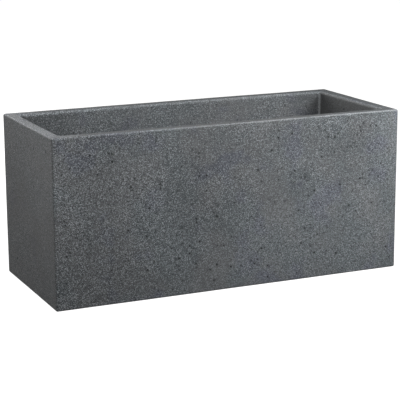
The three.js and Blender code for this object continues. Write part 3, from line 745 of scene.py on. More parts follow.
# Painted shade inside. It is strongest beside the corners and weaker on each corner's middle, where the
# highlight strip is.
painted_shade[inside] = ((1 - unshaded) * (1 - corner_nearness) ** 2)[inside]
# Painted shade down the outer corners on the left.
painted_shade[outside] = CORNER_SHADE * corner_nearness * (face_x < 0)
# Painted shade along the flat of the rim, darker towards the right.
rim_flat = slice(OUTER_LEVELS[1] + ROUND_STEPS, mouth_start + 2)
past_end = from_left[rim_flat] * LENGTH - RIM_SHADE_START
painted_shade[rim_flat] = 0.5 + 0.45 * (past_end / RIM_SHADE_FADE).clip(0, 1)
print("shaded points:", int((painted_shade > 0.1).sum()))

# %% [markdown]
# ### Pores in the skin
#
# Blasting opens small bubbles in the face of a real moulding. The wide ones are real hollows here,
# because their rims catch the light from the side. A cell of the grid that gets one loses its quad
# and takes a patch instead: the four corners, a ring of eight points on the surface, a smaller ring
# half way down and one point at the bottom. A mark on their points darkens them with painted shade,
# less on the rim ring and fully inside.

# %% Sink the pores
PORE_SHARE = 0.12
INNER_PORES = 0.7
END_PORES = 0.35
PORE_SIDES = 8
PORE_RADIUS = (0.8, 2.3)
BOWL_NARROWS = 0.72
BOWL_DEPTH = 0.7
PIT_SHADE_AT_RIM = 0.4
CLUSTER_SIZE = 0.09
POCKET_CLEAR = 40 * MM

spout_low, spout_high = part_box("overflow_spout")
OVERFLOW = (spout_low + spout_high) / 2


def sink_pores(points, quads, chosen, seed):
    """Replaces the chosen quads by patches with a round hollow in each. A ring point is the cell's
    middle plus its radius along the cell's own two directions, and the hollow goes straight in."""
    draw = np.random.default_rng(seed)
    a, b, c, d = (points[quads[chosen, k]] for k in range(4))
    count = len(chosen)
    right = (b - a) / np.linalg.norm(b - a, axis=1, keepdims=True)
    normal = np.cross(right, d - a)
    normal /= np.linalg.norm(normal, axis=1, keepdims=True)
    up = np.cross(normal, right)
    radius = draw.gamma(5.0, 0.3, size=(count, 1)).clip(*PORE_RADIUS) * MM
    aside = right * draw.uniform(-1, 1, (count, 1)) + up * draw.uniform(-1, 1, (count, 1))
    middle = (a + b + c + d) / 4 + aside * MM
    angle = np.arange(PORE_SIDES) * np.pi / 4 - 3 * np.pi / 4
    wobble = draw.uniform(0.78, 1.12, (count, PORE_SIDES))
    ring = np.cos(angle)[:, None] * right[:, None] + np.sin(angle)[:, None] * up[:, None]
    ring = ring * (radius * wobble)[..., None]
    depth = radius * draw.uniform(0.7, 1.1, (count, 1))
    rim = middle[:, None] + ring
    wall = middle[:, None] + ring * BOWL_NARROWS - (normal * depth * BOWL_DEPTH)[:, None]
    pit = middle - normal * depth
    start = len(points)
    new_points = np.concatenate([rim, wall, pit[:, None]], axis=1).reshape(-1, 3)
    base = start + np.arange(count)[:, None] * (2 * PORE_SIDES + 1)
    number = np.arange(PORE_SIDES)
    rims, walls = base + number, base + PORE_SIDES + number
    pits = np.repeat(base + 2 * PORE_SIDES, PORE_SIDES, axis=1)
    corner = quads[chosen]
    triangles = []
    for side in range(4):
        near, far = corner[:, side], corner[:, (side + 1) % 4]
        r0, r1, r2 = (rims[:, (2 * side + step) % PORE_SIDES] for step in range(3))
        triangles += [np.stack(t, axis=1) for t in ((near, far, r1), (near, r1, r0), (far, r2, r1))]
    after = np.roll(number, -1)
    hollow = np.stack([rims, rims[:, after], walls[:, after], walls], axis=-1).reshape(-1, 4)
    bottom = np.stack([walls, walls[:, after], pits], axis=-1).reshape(-1, 3)
    kept = np.delete(quads, chosen, axis=0)
    faces = kept.tolist() + hollow.tolist() + np.concatenate(triangles).tolist() + bottom.tolist()
    # Painted shade inside each hollow: weaker on the rim ring, full down the wall and at the bottom.
    mask = np.zeros(start + len(new_points))
    mask[start:] = np.tile(np.r_[np.full(PORE_SIDES, PIT_SHADE_AT_RIM), np.ones(PORE_SIDES + 1)], count)
    return np.concatenate([points, new_points]), faces, mask


def pore_cells(seed):
    """Cells on the straight stretches of the outer and inner walls, chosen at random. Each wall keeps
    its own share, and the area round the overflow pocket is left whole."""
    draw = np.random.default_rng(seed)
    straight = (np.abs(along_x) < 1) | (np.abs(along_y) < 1)
    share = np.zeros((len(level_z) - 1, len(along_x)))
    share[OUTER_LEVELS[0] + 1 : OUTER_LEVELS[1] - 1] = PORE_SHARE
    share[INNER_LEVELS[0] + 2 : INNER_LEVELS[1] - 1] = PORE_SHARE * INNER_PORES
    share *= (straight & np.roll(straight, -1)) * np.where(np.abs(face_x) < 1, 1, END_PORES)
    clusters = 0.5 + random_field(skin[:-1], CLUSTER_SIZE, 21).clip(-0.8, 1.4)
    x, y, z = np.moveaxis(skin[:-1], -1, 0)
    pocket = (np.hypot(x - OVERFLOW[0], z - OVERFLOW[2]) < POCKET_CLEAR) & (y > 0)
    return np.flatnonzero((draw.uniform(size=share.shape) < share * clusters) & ~pocket)


pore_list = pore_cells(5)
skin_quads = quads_between(*skin.shape[:2])
# The third result is the painted shade in the hollows.
trough_points, trough_faces, pit = sink_pores(skin.reshape(-1, 3), skin_quads, pore_list, 6)
print("pores:", len(pore_list))

# %% [markdown]
# ### Holes in the trough
#
# The skin is closed now, so holes can be cut through it as closed tools: a round pocket in the back
# for the overflow, a stepped hole for the drain, two vent holes in the underside and two half-round
# channels under the back edge, through which spilt water leaves.

# %% Make the trough and its tools
POCKET_RADIUS = 18 * MM
POCKET_DEPTH = 14 * MM
POCKET_SOFT = 1.2 * MM
SPOUT_HOLE = 9.1 * MM
DRAIN_HOLE = 16.4 * MM
VENT_HOLE = 4 * MM
VENT_X = 300 * MM
CHANNEL_X = 180 * MM
CHANNEL_HALF = 12 * MM
CHANNEL_HEIGHT = 3 * MM
PAST = 9 * MM

trough_mesh = bpy.data.meshes.new("planter_skin")
trough_mesh.from_pydata(trough_points.tolist(), [], trough_faces)
# The marks: painted shade in the hollows, a painted highlight with rubbing on the edges, and painted shade
# in corners and on the rim.
for mark_name, values in (("pit", pit), ("rub_and_highlight", rub_and_highlight.ravel()), ("painted_shade", painted_shade.ravel())):
    padded = np.zeros(len(trough_points), np.float32)
    padded[: len(values)] = values
    trough_mesh.attributes.new(mark_name, "FLOAT", "POINT").data.foreach_set("value", padded)
trough = added("planter_skin", trough_mesh)
merge_doubles(trough)

back = WIDTH / 2
pocket_floor = back - POCKET_DEPTH
pocket_profile = [
    (0, back - 60 * MM),
    (SPOUT_HOLE, back - 60 * MM),
    (SPOUT_HOLE, pocket_floor),
    (POCKET_RADIUS - POCKET_SOFT, pocket_floor),
    (POCKET_RADIUS, pocket_floor + POCKET_SOFT),
    (POCKET_RADIUS, back - 2 * MM),
    (POCKET_RADIUS + 0.6 * MM, back - 0.9 * MM),
    (POCKET_RADIUS + 2.2 * MM, back + 1 * MM),
    (POCKET_RADIUS + 2.2 * MM, back + PAST),
    (0, back + PAST),
]
drain_profile = [
    (0, -PAST),
    (DRAIN_HOLE + 3 * MM, -PAST),
    (DRAIN_HOLE + 3 * MM, FOOT_DEPTH),
    (DRAIN_HOLE, FOOT_DEPTH + 1.5 * MM),
    (DRAIN_HOLE, FLOOR_HEIGHT + PAST),
    (0, FLOOR_HEIGHT + PAST),
]
vent_hole_profile = rod_profile(VENT_HOLE, 0, FOOT_DEPTH + 8 * MM)


def channel_tool(x):
    """A half-round channel under the back wall: a flat arch carried from front to back."""
    angle = np.linspace(0, np.pi, 13)
    arch_x, arch_z = x + CHANNEL_HALF * np.cos(angle), CHANNEL_HEIGHT * np.sin(angle) ** 0.7
    arch = np.stack([arch_x, 0 * angle, arch_z], axis=1)
    arch = np.concatenate([arch, [[x - CHANNEL_HALF, 0, -4 * MM], [x + CHANNEL_HALF, 0, -4 * MM]]])
    rows = [arch + [0, y, 0] for y in (back + 4 * MM, back - FOOT_WIDTH - 3 * MM)]
    faces = quads_between(2, len(arch)).tolist()
    faces += [list(range(len(arch)))[::-1], list(range(len(arch), 2 * len(arch)))]
    return mesh_object("channel_tool", np.array(rows), faces)


# %% Cut the holes
cut_with(
    trough,
    turned("pocket_tool", pocket_profile, 64, (OVERFLOW[0], 0, OVERFLOW[2]), "+Y"),
    turned("drain_tool", drain_profile, 64),
    *(turned("vent_tool", vent_hole_profile, 24, (x, 0, 0)) for x in (-VENT_X, VENT_X)),
    *(channel_tool(x) for x in (-CHANNEL_X, CHANNEL_X)),
)
crisp(trough, 40)
finished(trough, "trough", STONE, "planter_body")
print("trough triangles:", sum(len(p.vertices) - 2 for p in trough.data.polygons))

# %% [markdown]
# ## Moulded plastics of the insert
#
# Everything inside the trough is injection moulded. The decks and the baskets are black recycled
# plastic with a coarse, dull tool texture and faint flow clouds, and their edges shine a little
# where hands rub them. The shaft and its fittings are dark grey with a finer, silkier texture. Both
# finishes take the same two groups with their own values: a tool texture, and an edge wear that
# finds convex edges from the difference between a rounded normal and the true one.


# %% Groups and materials of the plastics
def texture_group():
    """Tool texture: fine grains over faint clouds. Height drives the bump, and Cloud the colour."""
    tree, start, end = new_group(
        "tool_texture",
        [("Vector", "vector", None), ("Grain", "value", 900.0), ("Clouds", "value", 14.0)],
        [("Height", "value"), ("Cloud", "value")],
    )
    where = start.outputs["Vector"]
    cloud = dict(Vector=where, Scale=start.outputs["Clouds"], Detail=4.0, Distortion=0.6)
    cloud = put(tree, "ShaderNodeTexNoise", **cloud).outputs["Fac"]
    tree.links.new(noise(tree, where, start.outputs["Grain"]), end.inputs["Height"])
    tree.links.new(span(tree, cloud, 0.35, 0.65), end.inputs["Cloud"])
    return tree


def wear_group():
    """Wear: a mask that is 1 along convex edges and broken up by a noise."""
    sockets = [("Vector", "vector", None), ("Width", "value", 0.001)]
    tree, start, end = new_group("edge_wear", sockets, [("Mask", "value")])
    rounded = put(tree, "ShaderNodeBevel", {"samples": 4}, Radius=start.outputs["Width"])
    geometry = put(tree, "ShaderNodeNewGeometry")
    dot = put(tree, "ShaderNodeVectorMath", {"operation": "DOT_PRODUCT"})
    for socket, normals in zip(dot.inputs, (rounded, geometry)):
        tree.links.new(normals.outputs["Normal"], socket)
    edge = span(tree, dot.outputs["Value"], 0.995, 0.90)
    broken = span(tree, noise(tree, start.outputs["Vector"], 140.0, 3.0), 0.40, 0.62)
    tree.links.new(maths(tree, "MULTIPLY", edge, broken), end.inputs["Mask"])
    return tree


TOOL_TEXTURE = texture_group()
EDGE_WEAR = wear_group()
print("groups:", [g.name for g in (TOOL_TEXTURE, EDGE_WEAR)])

# %% The moulded materials
# name: colour, cloud colour, worn colour, roughness, grain scale, bump strength
PLASTICS = {
    "deck_plastic": ((0.020, 0.021, 0.022), (0.030, 0.031, 0.032), (0.075, 0.077, 0.08), 0.52, 700.0, 0.5),
    "shaft_plastic": ((0.036, 0.039, 0.043), (0.045, 0.048, 0.052), (0.12, 0.125, 0.13), 0.40, 1300.0, 0.3),
    "rubber": ((0.013, 0.013, 0.014), (0.024, 0.024, 0.025), (0.05, 0.05, 0.052), 0.72, 500.0, 0.35),
    "float_foam": ((0.72, 0.70, 0.63), (0.64, 0.61, 0.53), (0.80, 0.79, 0.74), 0.55, 1100.0, 0.3),
    "indicator_plastic": ((0.50, 0.022, 0.016), (0.42, 0.016, 0.012), (0.62, 0.10, 0.08), 0.28, 1500.0, 0.1),
}


def moulded_material(name, colour, cloud_colour, worn_colour, roughness, grain, bump_strength):
    """Moulded plastic: colour with faint clouds, rubbed edges, and the tool's texture as bump."""
    material, tree, shader = new_material(name)
    where = put(tree, "ShaderNodeTexCoord").outputs["Object"]
    texture = use(tree, TOOL_TEXTURE, Vector=where, Grain=grain, Clouds=16.0)
    cloud = texture.outputs["Cloud"]
    worn = use(tree, EDGE_WEAR, Vector=where, Width=0.0012).outputs["Mask"]
    clouded = mix_colour(tree, cloud, (*colour, 1), (*cloud_colour, 1))
    base = mix_colour(tree, maths(tree, "MULTIPLY", worn, 0.6), clouded, (*worn_colour, 1))
    rubbed = maths(tree, "MULTIPLY_ADD", worn, -0.15, roughness)
    dull = maths(tree, "MULTIPLY_ADD", cloud, 0.08, rubbed)
    bump = dict(Height=texture.outputs["Height"], Strength=bump_strength, Distance=0.0002)
    normal = put(tree, "ShaderNodeBump", **bump).outputs["Normal"]
    finish_shader(tree, shader, Base_Color=base, Roughness=dull, Normal=normal)
    return material


DECK_PLASTIC, SHAFT_PLASTIC, RUBBER, FLOAT_PLASTIC, INDICATOR = (
    moulded_material(name, *values) for name, values in PLASTICS.items()
)


# %% Clear plastic and steel
def clear_material():
    """Clear plastic: a thin glass with a faintly scuffed face."""
    material, tree, shader = new_material("clear_plastic")
    where = put(tree, "ShaderNodeTexCoord").outputs["Object"]
    scuffs = span(tree, noise(tree, where, 260.0, 5.0, 0.7), 0.50, 0.72, 0.04, 0.22)
    finish_shader(tree, shader, Base_Color=(0.93, 0.97, 0.98, 1), Roughness=scuffs)
    finish_shader(tree, shader, IOR=1.49, Transmission_Weight=1.0)
    return material


def steel_material():
    """Drawn stainless wire: fine rings of scratches round the pin."""
    material, tree, shader = new_material("steel_pin")
    where = put(tree, "ShaderNodeTexCoord").outputs["Object"]
    stretched = put(tree, "ShaderNodeMapping", Vector=where, Scale=(200.0, 6000.0, 200.0))
    scratch = noise(tree, stretched.outputs["Vector"], 1.0, 3.0)
    steel = mix_colour(tree, scratch, (0.42, 0.42, 0.43, 1), (0.62, 0.62, 0.63, 1))
    roughness = span(tree, scratch, 0.3, 0.7, 0.22, 0.42)
    finish_shader(tree, shader, Base_Color=steel, Roughness=roughness, Metallic=1.0)
    return material


CLEAR_PLASTIC = clear_material()
STEEL = steel_material()
print("materials:", sorted(m.name for m in bpy.data.materials))

# %% [markdown]
# ## Shapes for moulded fittings
#
# Apart from turned pieces, the fittings are rounded rectangles that rise straight up, so two more
# tools are enough: an outline, and a closed solid through a stack of outlines. Moulded pieces have no
# knife edges, so a slab rounds its own top and bottom edges, and a bevel softens what was cut.


# %% Outlines, slabs and joins
def outline(half_x, half_y, radius, steps=8):
    """A rounded rectangle as an array of points, anticlockwise: a quarter circle at each corner."""
    turn = np.linspace(0, QUARTER_TURN, steps + 1)
    corners = []
    for number, (sign_x, sign_y) in enumerate([(1, 1), (-1, 1), (-1, -1), (1, -1)]):
        bend = turn + number * QUARTER_TURN
        x = sign_x * (half_x - radius) + radius * np.cos(bend)
        y = sign_y * (half_y - radius) + radius * np.sin(bend)
        corners.append(np.stack([x, y], axis=1))
    return np.concatenate(corners)


def layer(shape, z):
    """A flat outline lifted to a height."""
    return np.column_stack([shape, np.full(len(shape), z)])


def capped(name, sections):
    """A closed solid through equal outlines, bottom first, with a flat cap at each end."""
    count = len(sections[0])
    faces = quads_between(len(sections), count).tolist()
    faces.append(list(range(count))[::-1])
    faces.append(list(range(count * (len(sections) - 1), count * len(sections))))
    return mesh_object(name, np.concatenate(sections), faces)


def slab(name, half, radius, z0, z1, place=(0, 0), edge=0.6 * MM):
    """A rounded block. Near its top and bottom its outline shrinks by edge * (1 - sin a) while it
    rises by edge * (1 - cos a), which is a quarter circle."""
    bend = np.linspace(0, QUARTER_TURN, 4)
    inset, rise = edge * (1 - np.sin(bend)), edge * (1 - np.cos(bend))
    levels = np.r_[z0 + rise, z1 - rise[::-1]]
    insets = np.r_[inset, inset[::-1]]
    sections = []
    for z, shrink in zip(levels, insets):
        shape = outline(half[0] - shrink, half[1] - shrink, max(radius - shrink, 0.1 * MM))
        sections.append(layer(shape + np.array(place), z))
    return capped(name, sections)


def grid_piece(name, rings):
    """A mesh from closed rings of points, where each ring joins the next."""
    return mesh_object(name, np.array(rings), quads_between(len(rings), len(rings[0])).tolist())


def tube(name, half, radius, wall, z0, z1, bands, place):
    """A rounded rectangular tube: up the outside, over the top edge, down the inside and back. A band
    is a low rib round the outside at a height."""
    soft, rib = 0.4 * MM, [(-2 * MM, 0), (-1.2 * MM, -0.5 * MM), (1.2 * MM, -0.5 * MM), (2 * MM, 0)]
    levels = [(z0, soft), (z0 + soft, 0)]
    levels += [(z + step, inset) for z in bands for step, inset in rib]
    levels += [(z1 - soft, 0), (z1, soft), (z1, wall - soft), (z1 - soft, wall)]
    levels += [(z0 + soft, wall), (z0, wall - soft)]
    rings = []
    for z, inset in levels + levels[:1]:
        rings.append(layer(outline(half[0] - inset, half[1] - inset, radius - inset) + np.array(place), z))
    return grid_piece(name, rings)


def moved(piece, matrix):
    """The same piece with its points moved, so that the object itself stays at the origin."""
    piece.data.transform(matrix)
    return piece


def slot_tool(half_width, half_height, near, far, turn, place):
    """A round-ended slot that runs level, from near to far, away from a place."""
    shape = outline(half_width, half_height, min(half_width, half_height) - ROUND_END, 4)
    prism = capped("slot", [layer(shape, near), layer(shape, far)])
    return moved(prism, Matrix.Translation(place) @ Matrix.Rotation(turn, 4, "Z") @ LAID_DOWN)


def combine(name, *pieces):
    """Puts pieces into one mesh. Each stays a closed shell of its own: the points are listed one piece
    after the other, and a face's numbers go up by the count of points before its piece."""
    points, faces, before = [], [], 0
    for piece in pieces:
        part = piece.data
        places = np.empty(3 * len(part.vertices))
        corners = np.empty(len(part.loops), int)
        starts = np.empty(len(part.polygons), int)
        part.vertices.foreach_get("co", places)
        part.loops.foreach_get("vertex_index", corners)
        part.polygons.foreach_get("loop_start", starts)
        points.append(places.reshape(-1, 3))
        faces += [face.tolist() for face in np.split(corners + before, starts[1:])]
        before += len(part.vertices)
        bpy.data.objects.remove(piece)
    mesh = bpy.data.meshes.new(name)
    mesh.from_pydata(np.concatenate(points).tolist(), [], faces)
    whole = added(name, mesh)
    crisp(whole)
    return whole


def softened(piece, width=0.3 * MM, angle=SHARP_ANGLE):
    """Rounds every crisp edge by a small width."""
    bevel = piece.modifiers.new("bevel", "BEVEL")
    bevel.width = width
    bevel.segments = 2
    bevel.limit_method = "ANGLE"
    bevel.angle_limit = math.radians(angle)
    apply_modifiers(piece)
    crisp(piece, angle)
    return piece


def copied(piece, name, matrix):
    """A copy of a piece with its points moved."""
    return moved(added(name, piece.data.copy()), matrix)


def middle_of(node):
    """The middle of a CAD node's box."""
    low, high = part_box(node)
    return (low + high) / 2


def half_size(low, high):
    """Half the length and half the width of a box."""
    return np.array((high - low) / 2)[:2]


def middle_xy(node):
    """The middle of a CAD node's box, seen from above."""
    return np.array(middle_of(node))[:2]


HALF_TURN = Matrix.Rotation(math.pi, 4, "Z")
LAID_DOWN = Matrix.Rotation(math.pi / 2, 4, "X")
ROUND_END = 0.01 * MM

# %% [markdown]
# ## Decks
#
# Each deck is a shallow tray turned upside down: a slotted plate with a skirt, round holes for the
# baskets, one oblong hole for the shaft, and a socket under the plate for each leg. The plate could
# be a grid with cells left out, but its slots have round ends and flare at the top, so it is a slab
# from which one tool cuts every opening at once. A low bead runs round the edge to stiffen it. Both
# decks come from the same mould, so the left one is the right one turned half round.

# %% Sizes of the decks
deck_low, deck_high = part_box("separator_right")
DECK_FOOT, DECK_TOP = deck_low.z, deck_high.z
PLATE_FOOT = DECK_TOP - 3 * MM
DECK_WALL = 2.5 * MM
DECK_CORNER = 12 * MM
DECK_HALF = half_size(deck_low, deck_high)
DECK_MIDDLE = middle_xy("separator_right")
BASKET_HOLE = 38 * MM
COLLAR_FOOT = DECK_TOP - 10 * MM
LEG_SOCKET = 9.2 * MM
SHAFT_HOLE = np.array([37, 22]) * MM
SLOT_LENGTH = 34 * MM
SLOT_WIDTH = 5 * MM
SLOT_PITCH = np.array([45, 24]) * MM
SLOT_START = 45 * MM
SLOT_COLUMNS = 8
SLOT_ROWS = 4
SLOT_MARGIN = 3 * MM
BEAD_INSET, BEAD_HALF, BEAD_HEIGHT = 1.9 * MM, 1.2 * MM, 1 * MM

BASKETS = [middle_xy(f"basket_right_{which}") for which in ("inner", "outer")]
LEGS = [middle_xy(f"leg_right_{number}") for number in range(1, 7)]
SHAFT = middle_xy("shaft_tube")
print("deck half sizes:", DECK_HALF.round(4), "middle:", DECK_MIDDLE.round(4))


# %% Make the decks
def slot_places():
    """Slot middles on a grid, without those that would run into a hole, a socket or the skirt."""
    columns = np.arange(SLOT_COLUMNS) * SLOT_PITCH[0] + SLOT_START
    rows = np.arange(-SLOT_ROWS, SLOT_ROWS + 1) * SLOT_PITCH[1]
    x, y = (values.ravel() for values in np.meshgrid(columns, rows, indexing="ij"))
    reach = SLOT_MARGIN + SLOT_WIDTH / 2

    def distance(place):
        """From a place to the nearest point of each slot's middle line."""
        return np.hypot(np.maximum(0, np.abs(x - place[0]) - SLOT_LENGTH / 2), y - place[1])

    free = np.abs(x - DECK_MIDDLE[0]) < DECK_HALF[0] - SLOT_LENGTH / 2 - DECK_WALL - reach
    free &= np.abs(y) < DECK_HALF[1] - DECK_WALL - reach
    for radius, places in ((BASKET_HOLE, BASKETS), (LEG_SOCKET, LEGS)):
        for place in places:
            free &= distance(place) > radius + DECK_WALL + reach
    beside = np.abs(x - SHAFT[0]) > SHAFT_HOLE[0] - MM + SLOT_LENGTH / 2 + reach
    behind = np.abs(y - SHAFT[1]) > SHAFT_HOLE[1] - MM + 2 * reach
    return np.stack([x, y], axis=1)[free & (beside | behind)]


def flared_slot(place):
    """A slot through the plate whose mouth widens by a small chamfer at the top."""
    chamfer = 0.7 * MM
    shapes = []
    for wider in (0, 0, chamfer, chamfer):
        round_end = SLOT_WIDTH / 2 + wider - ROUND_END
        shapes.append(outline(SLOT_LENGTH / 2 + wider, SLOT_WIDTH / 2 + wider, round_end, 4) + place)
    heights = [PLATE_FOOT - MM, DECK_TOP - chamfer, DECK_TOP + ROUND_END, DECK_TOP + MM]
    return capped("hole", [layer(shape, z) for shape, z in zip(shapes, heights)])


def edge_bead():
    """A half-round rib that runs round the deck close to its edge."""
    rings = []
    for angle in np.linspace(0, np.pi, 7):
        inset = BEAD_INSET - BEAD_HALF * math.cos(angle)
        shape = outline(*(DECK_HALF - inset), DECK_CORNER - inset) + DECK_MIDDLE
        rings.append(layer(shape, DECK_TOP - 0.2 * MM + BEAD_HEIGHT * math.sin(angle)))
    rings.append(rings[0])
    return grid_piece("bead", rings)


def short_tube(place, radius, z0, z1):
    """A round socket or collar that hangs from the plate."""
    outer = radius + DECK_WALL
    profile = [(radius, z0), (outer, z0), (outer, z1), (radius, z1), (radius, z0)]
    return turned("socket", profile, 48, (*place, 0))


def deck():
    """One deck: a slab, hollowed from below, with its sockets, its openings and its bead."""
    plate = slab("plate", DECK_HALF, DECK_CORNER, DECK_FOOT, DECK_TOP, DECK_MIDDLE, 0.8 * MM)
    room = DECK_HALF - DECK_WALL, DECK_CORNER - DECK_WALL, DECK_FOOT - 5 * MM, PLATE_FOOT
    cut_with(plate, slab("inside", *room, DECK_MIDDLE))
    sockets = [short_tube(place, LEG_SOCKET, DECK_FOOT, PLATE_FOOT + MM) for place in LEGS]
    sockets += [short_tube(place, BASKET_HOLE, COLLAR_FOOT, PLATE_FOOT + MM) for place in BASKETS]
    fuse(plate, combine("sockets", *sockets))
    above, below = DECK_TOP + 3 * MM, DECK_FOOT - MM
    holes = [turned("hole", rod_profile(BASKET_HOLE, below, above), 64, (*place, 0)) for place in BASKETS]
    holes.append(slab("hole", SHAFT_HOLE, 5 * MM, below, above, SHAFT))
    holes += [flared_slot(place) for place in slot_places()]
    cut_with(plate, combine("holes", *holes))
    return combine("moulded_separator_right", plate, edge_bead())


deck_right = deck()
deck_left = copied(deck_right, "moulded_separator_left", HALF_TURN)
finished(deck_right, "deck_right", DECK_PLASTIC, "separator_right")
finished(deck_left, "deck_left", DECK_PLASTIC, "separator_left")
print("slots in each deck:", len(slot_places()))

# %% [markdown]
# ## Legs
#
# A moulded leg is a cross in section, because a cross is stiff and has no thick places that would
# sink as they cool. It narrows upwards so that it leaves the mould. A foot pad spreads the load, the
# deck sits on a round shoulder, and a ribbed spigot snaps into the deck's socket.

# %% Make the legs
LEG_WEB = 3 * MM
LEG_SPREAD = 12 * MM
leg_low, leg_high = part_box("leg_right_1")
SHOULDER = DECK_FOOT - 0.3 * MM
PAD_RADIUS, PAD_THICK = 9 * MM, 1.6 * MM
TAPER = 0.93


def cross(spread, web):
    """The outline of a cross, anticlockwise: three points of one arm, turned four times."""
    half = web / 2
    arm = np.array([(spread, -half), (spread, half), (half, half)])
    turn = np.arange(4) * QUARTER_TURN
    cos, sin = np.cos(turn)[:, None], np.sin(turn)[:, None]
    x = arm[:, 0] * cos - arm[:, 1] * sin
    y = arm[:, 0] * sin + arm[:, 1] * cos
    return np.stack([x.ravel(), y.ravel()], axis=1)


def leg():
    """One leg, upright on the origin."""
    foot, top = leg_low.z, leg_high.z
    arms = [(foot, 1.0), (SHOULDER - 3 * MM, TAPER)]
    sections = [layer(cross(LEG_SPREAD * share, LEG_WEB * share), z) for z, share in arms]
    upright = capped("upright", sections)
    pad = rod_profile(PAD_RADIUS, foot, foot + PAD_THICK)
    spigot = LEG_SOCKET - 0.6 * MM
    head = [
        (0, SHOULDER - 4 * MM),
        (7 * MM, SHOULDER - 4 * MM),
        (LEG_SPREAD - 0.4 * MM, SHOULDER - 2 * MM),
        (LEG_SPREAD - 0.4 * MM, SHOULDER),
        (spigot - 0.5 * MM, SHOULDER),
        (spigot - 0.5 * MM, top - 4 * MM),
        (spigot, top - 3 * MM),
        (spigot, top - 2.4 * MM),
        (spigot - 1.4 * MM, top),
        (0, top),
    ]
    fuse(upright, turned("pad", pad, 32), turned("head", head, 32))
    return softened(upright)


def place_copies(pattern, nodes_on_bodies):
    """Puts a copy of one upright piece at the middle of each node, and removes the pattern."""
    for node, body in nodes_on_bodies:
        place = Matrix.Translation(middle_of(node).xy.to_3d())
        finished(copied(pattern, f"moulded_{node}", place), body, DECK_PLASTIC, node)
    bpy.data.objects.remove(pattern)


SIDES = ("left", "right")
place_copies(leg(), [(f"leg_{side}_{number}", f"deck_{side}") for side in SIDES for number in range(1, 7)])

# %% [markdown]
# ## Wick baskets
#
# A wick basket is a tapered cup with upright slots, a ribbed waist and a flange that rests on the
# deck. Its wall is one turned profile, out along the floor, up the outside, over the flange and back
# down the inside. The slots are cut afterwards, because their round ends don't fit a turned grid.

# %% Make the baskets
BASKET_WALL = 2 * MM
BASKET_FOOT_RADIUS = 28 * MM
BASKET_TOP_RADIUS = 36 * MM
BASKET_SLOT = (2.5 * MM, 13 * MM)
BASKET_SLOT_MIDDLES = (49 * MM, 83 * MM)
BASKET_SLOTS_ROUND = 8
basket_low, basket_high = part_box("basket_right_inner")


def basket():
    """One basket, upright on the origin."""
    foot, top = basket_low.z, basket_high.z
    ledge = top - BASKET_WALL
    flange = (basket_high.x - basket_low.x) / 2
    waist = sum(BASKET_SLOT_MIDDLES) / 2

    def wall(z):
        """The outside radius at a height."""
        return BASKET_FOOT_RADIUS + (BASKET_TOP_RADIUS - BASKET_FOOT_RADIUS) * (z - foot) / (ledge - foot)

    profile = [
        (0, foot),
        (BASKET_FOOT_RADIUS - 1.5 * MM, foot),
        (BASKET_FOOT_RADIUS - 0.4 * MM, foot + 0.4 * MM),
        (wall(foot + 1.5 * MM), foot + 1.5 * MM),
    ]
    for step, stands in ((-1.6, 0), (-0.9, 0.9), (0.9, 0.9), (1.6, 0)):
        z = waist + step * MM
        profile.append((wall(z) + stands * MM, z))
    profile += [
        (wall(ledge - 2 * MM), ledge - 2 * MM),
        (BASKET_TOP_RADIUS + 0.8 * MM, ledge),
        (flange - 0.5 * MM, ledge),
        (flange, ledge + 0.5 * MM),
        (flange, top - 0.6 * MM),
        (flange - 0.6 * MM, top),
        (BASKET_TOP_RADIUS - BASKET_WALL + 1.2 * MM, top),
        (BASKET_TOP_RADIUS - BASKET_WALL, top - 1.2 * MM),
        (BASKET_FOOT_RADIUS - BASKET_WALL, foot + BASKET_WALL + 1 * MM),
        (BASKET_FOOT_RADIUS - BASKET_WALL - MM, foot + BASKET_WALL),
        (0, foot + BASKET_WALL),
    ]
    cup = turned("cup", profile, 96)
    near, far = BASKET_FOOT_RADIUS - 10 * MM, BASKET_TOP_RADIUS + 5 * MM
    slots = [
        slot_tool(*BASKET_SLOT, near, far, math.tau * step / BASKET_SLOTS_ROUND, (0, 0, z))
        for z in BASKET_SLOT_MIDDLES
        for step in range(BASKET_SLOTS_ROUND)
    ]
    through_floor = (foot - MM, foot + BASKET_WALL + MM)
    for y in (-12 * MM, 0, 12 * MM):
        slots.append(slab("slot", (15 * MM, 2 * MM), 1.9 * MM, *through_floor, (0, y), 0.1 * MM))
    cut_with(cup, combine("slots", *slots))
    return softened(cup, 0.25 * MM, 40)


wicks = [f"{side}_{which}" for side in SIDES for which in ("inner", "outer")]
place_copies(basket(), [(f"basket_{wick}", f"wick_{wick}") for wick in wicks])

# %% [markdown]
# ## Blanking cover
#
# The left deck has the same shaft hole as the right one, and a flanged cover closes it. It is hollow
# underneath, and a finger recess with a bar across it is let into its top.

# %% Make the cover
COVER_LAP = 4 * MM
COVER_THICK = 2 * MM
COVER_CORNER = 5 * MM
RECESS_HALF = (17 * MM, 9 * MM)
GRIP_HALF = (15.5 * MM, 1.3 * MM)
cover_low, cover_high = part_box("blanking_cover")
cover_half, cover_place = half_size(cover_low, cover_high), middle_xy("blanking_cover")
foot, top = cover_low.z, cover_high.z

flange = slab("flange", cover_half, COVER_CORNER, top - COVER_THICK, top, cover_place)
skirt_half = cover_half - COVER_LAP
fuse(flange, slab("skirt", skirt_half, COVER_CORNER, foot, top - MM, cover_place))
cut_with(
    flange,
    slab("inside", skirt_half - COVER_THICK, 3 * MM, foot - MM, top - 3 * MM, cover_place),
    slab("recess", RECESS_HALF, 8.9 * MM, top - 1.4 * MM, top + 2 * MM, cover_place),
)
softened(flange)
grip = slab("grip", GRIP_HALF, 1.2 * MM, top - 2 * MM, top - 0.1 * MM, cover_place)
finished(combine("moulded_cover", flange, grip), "cover", DECK_PLASTIC, "blanking_cover")

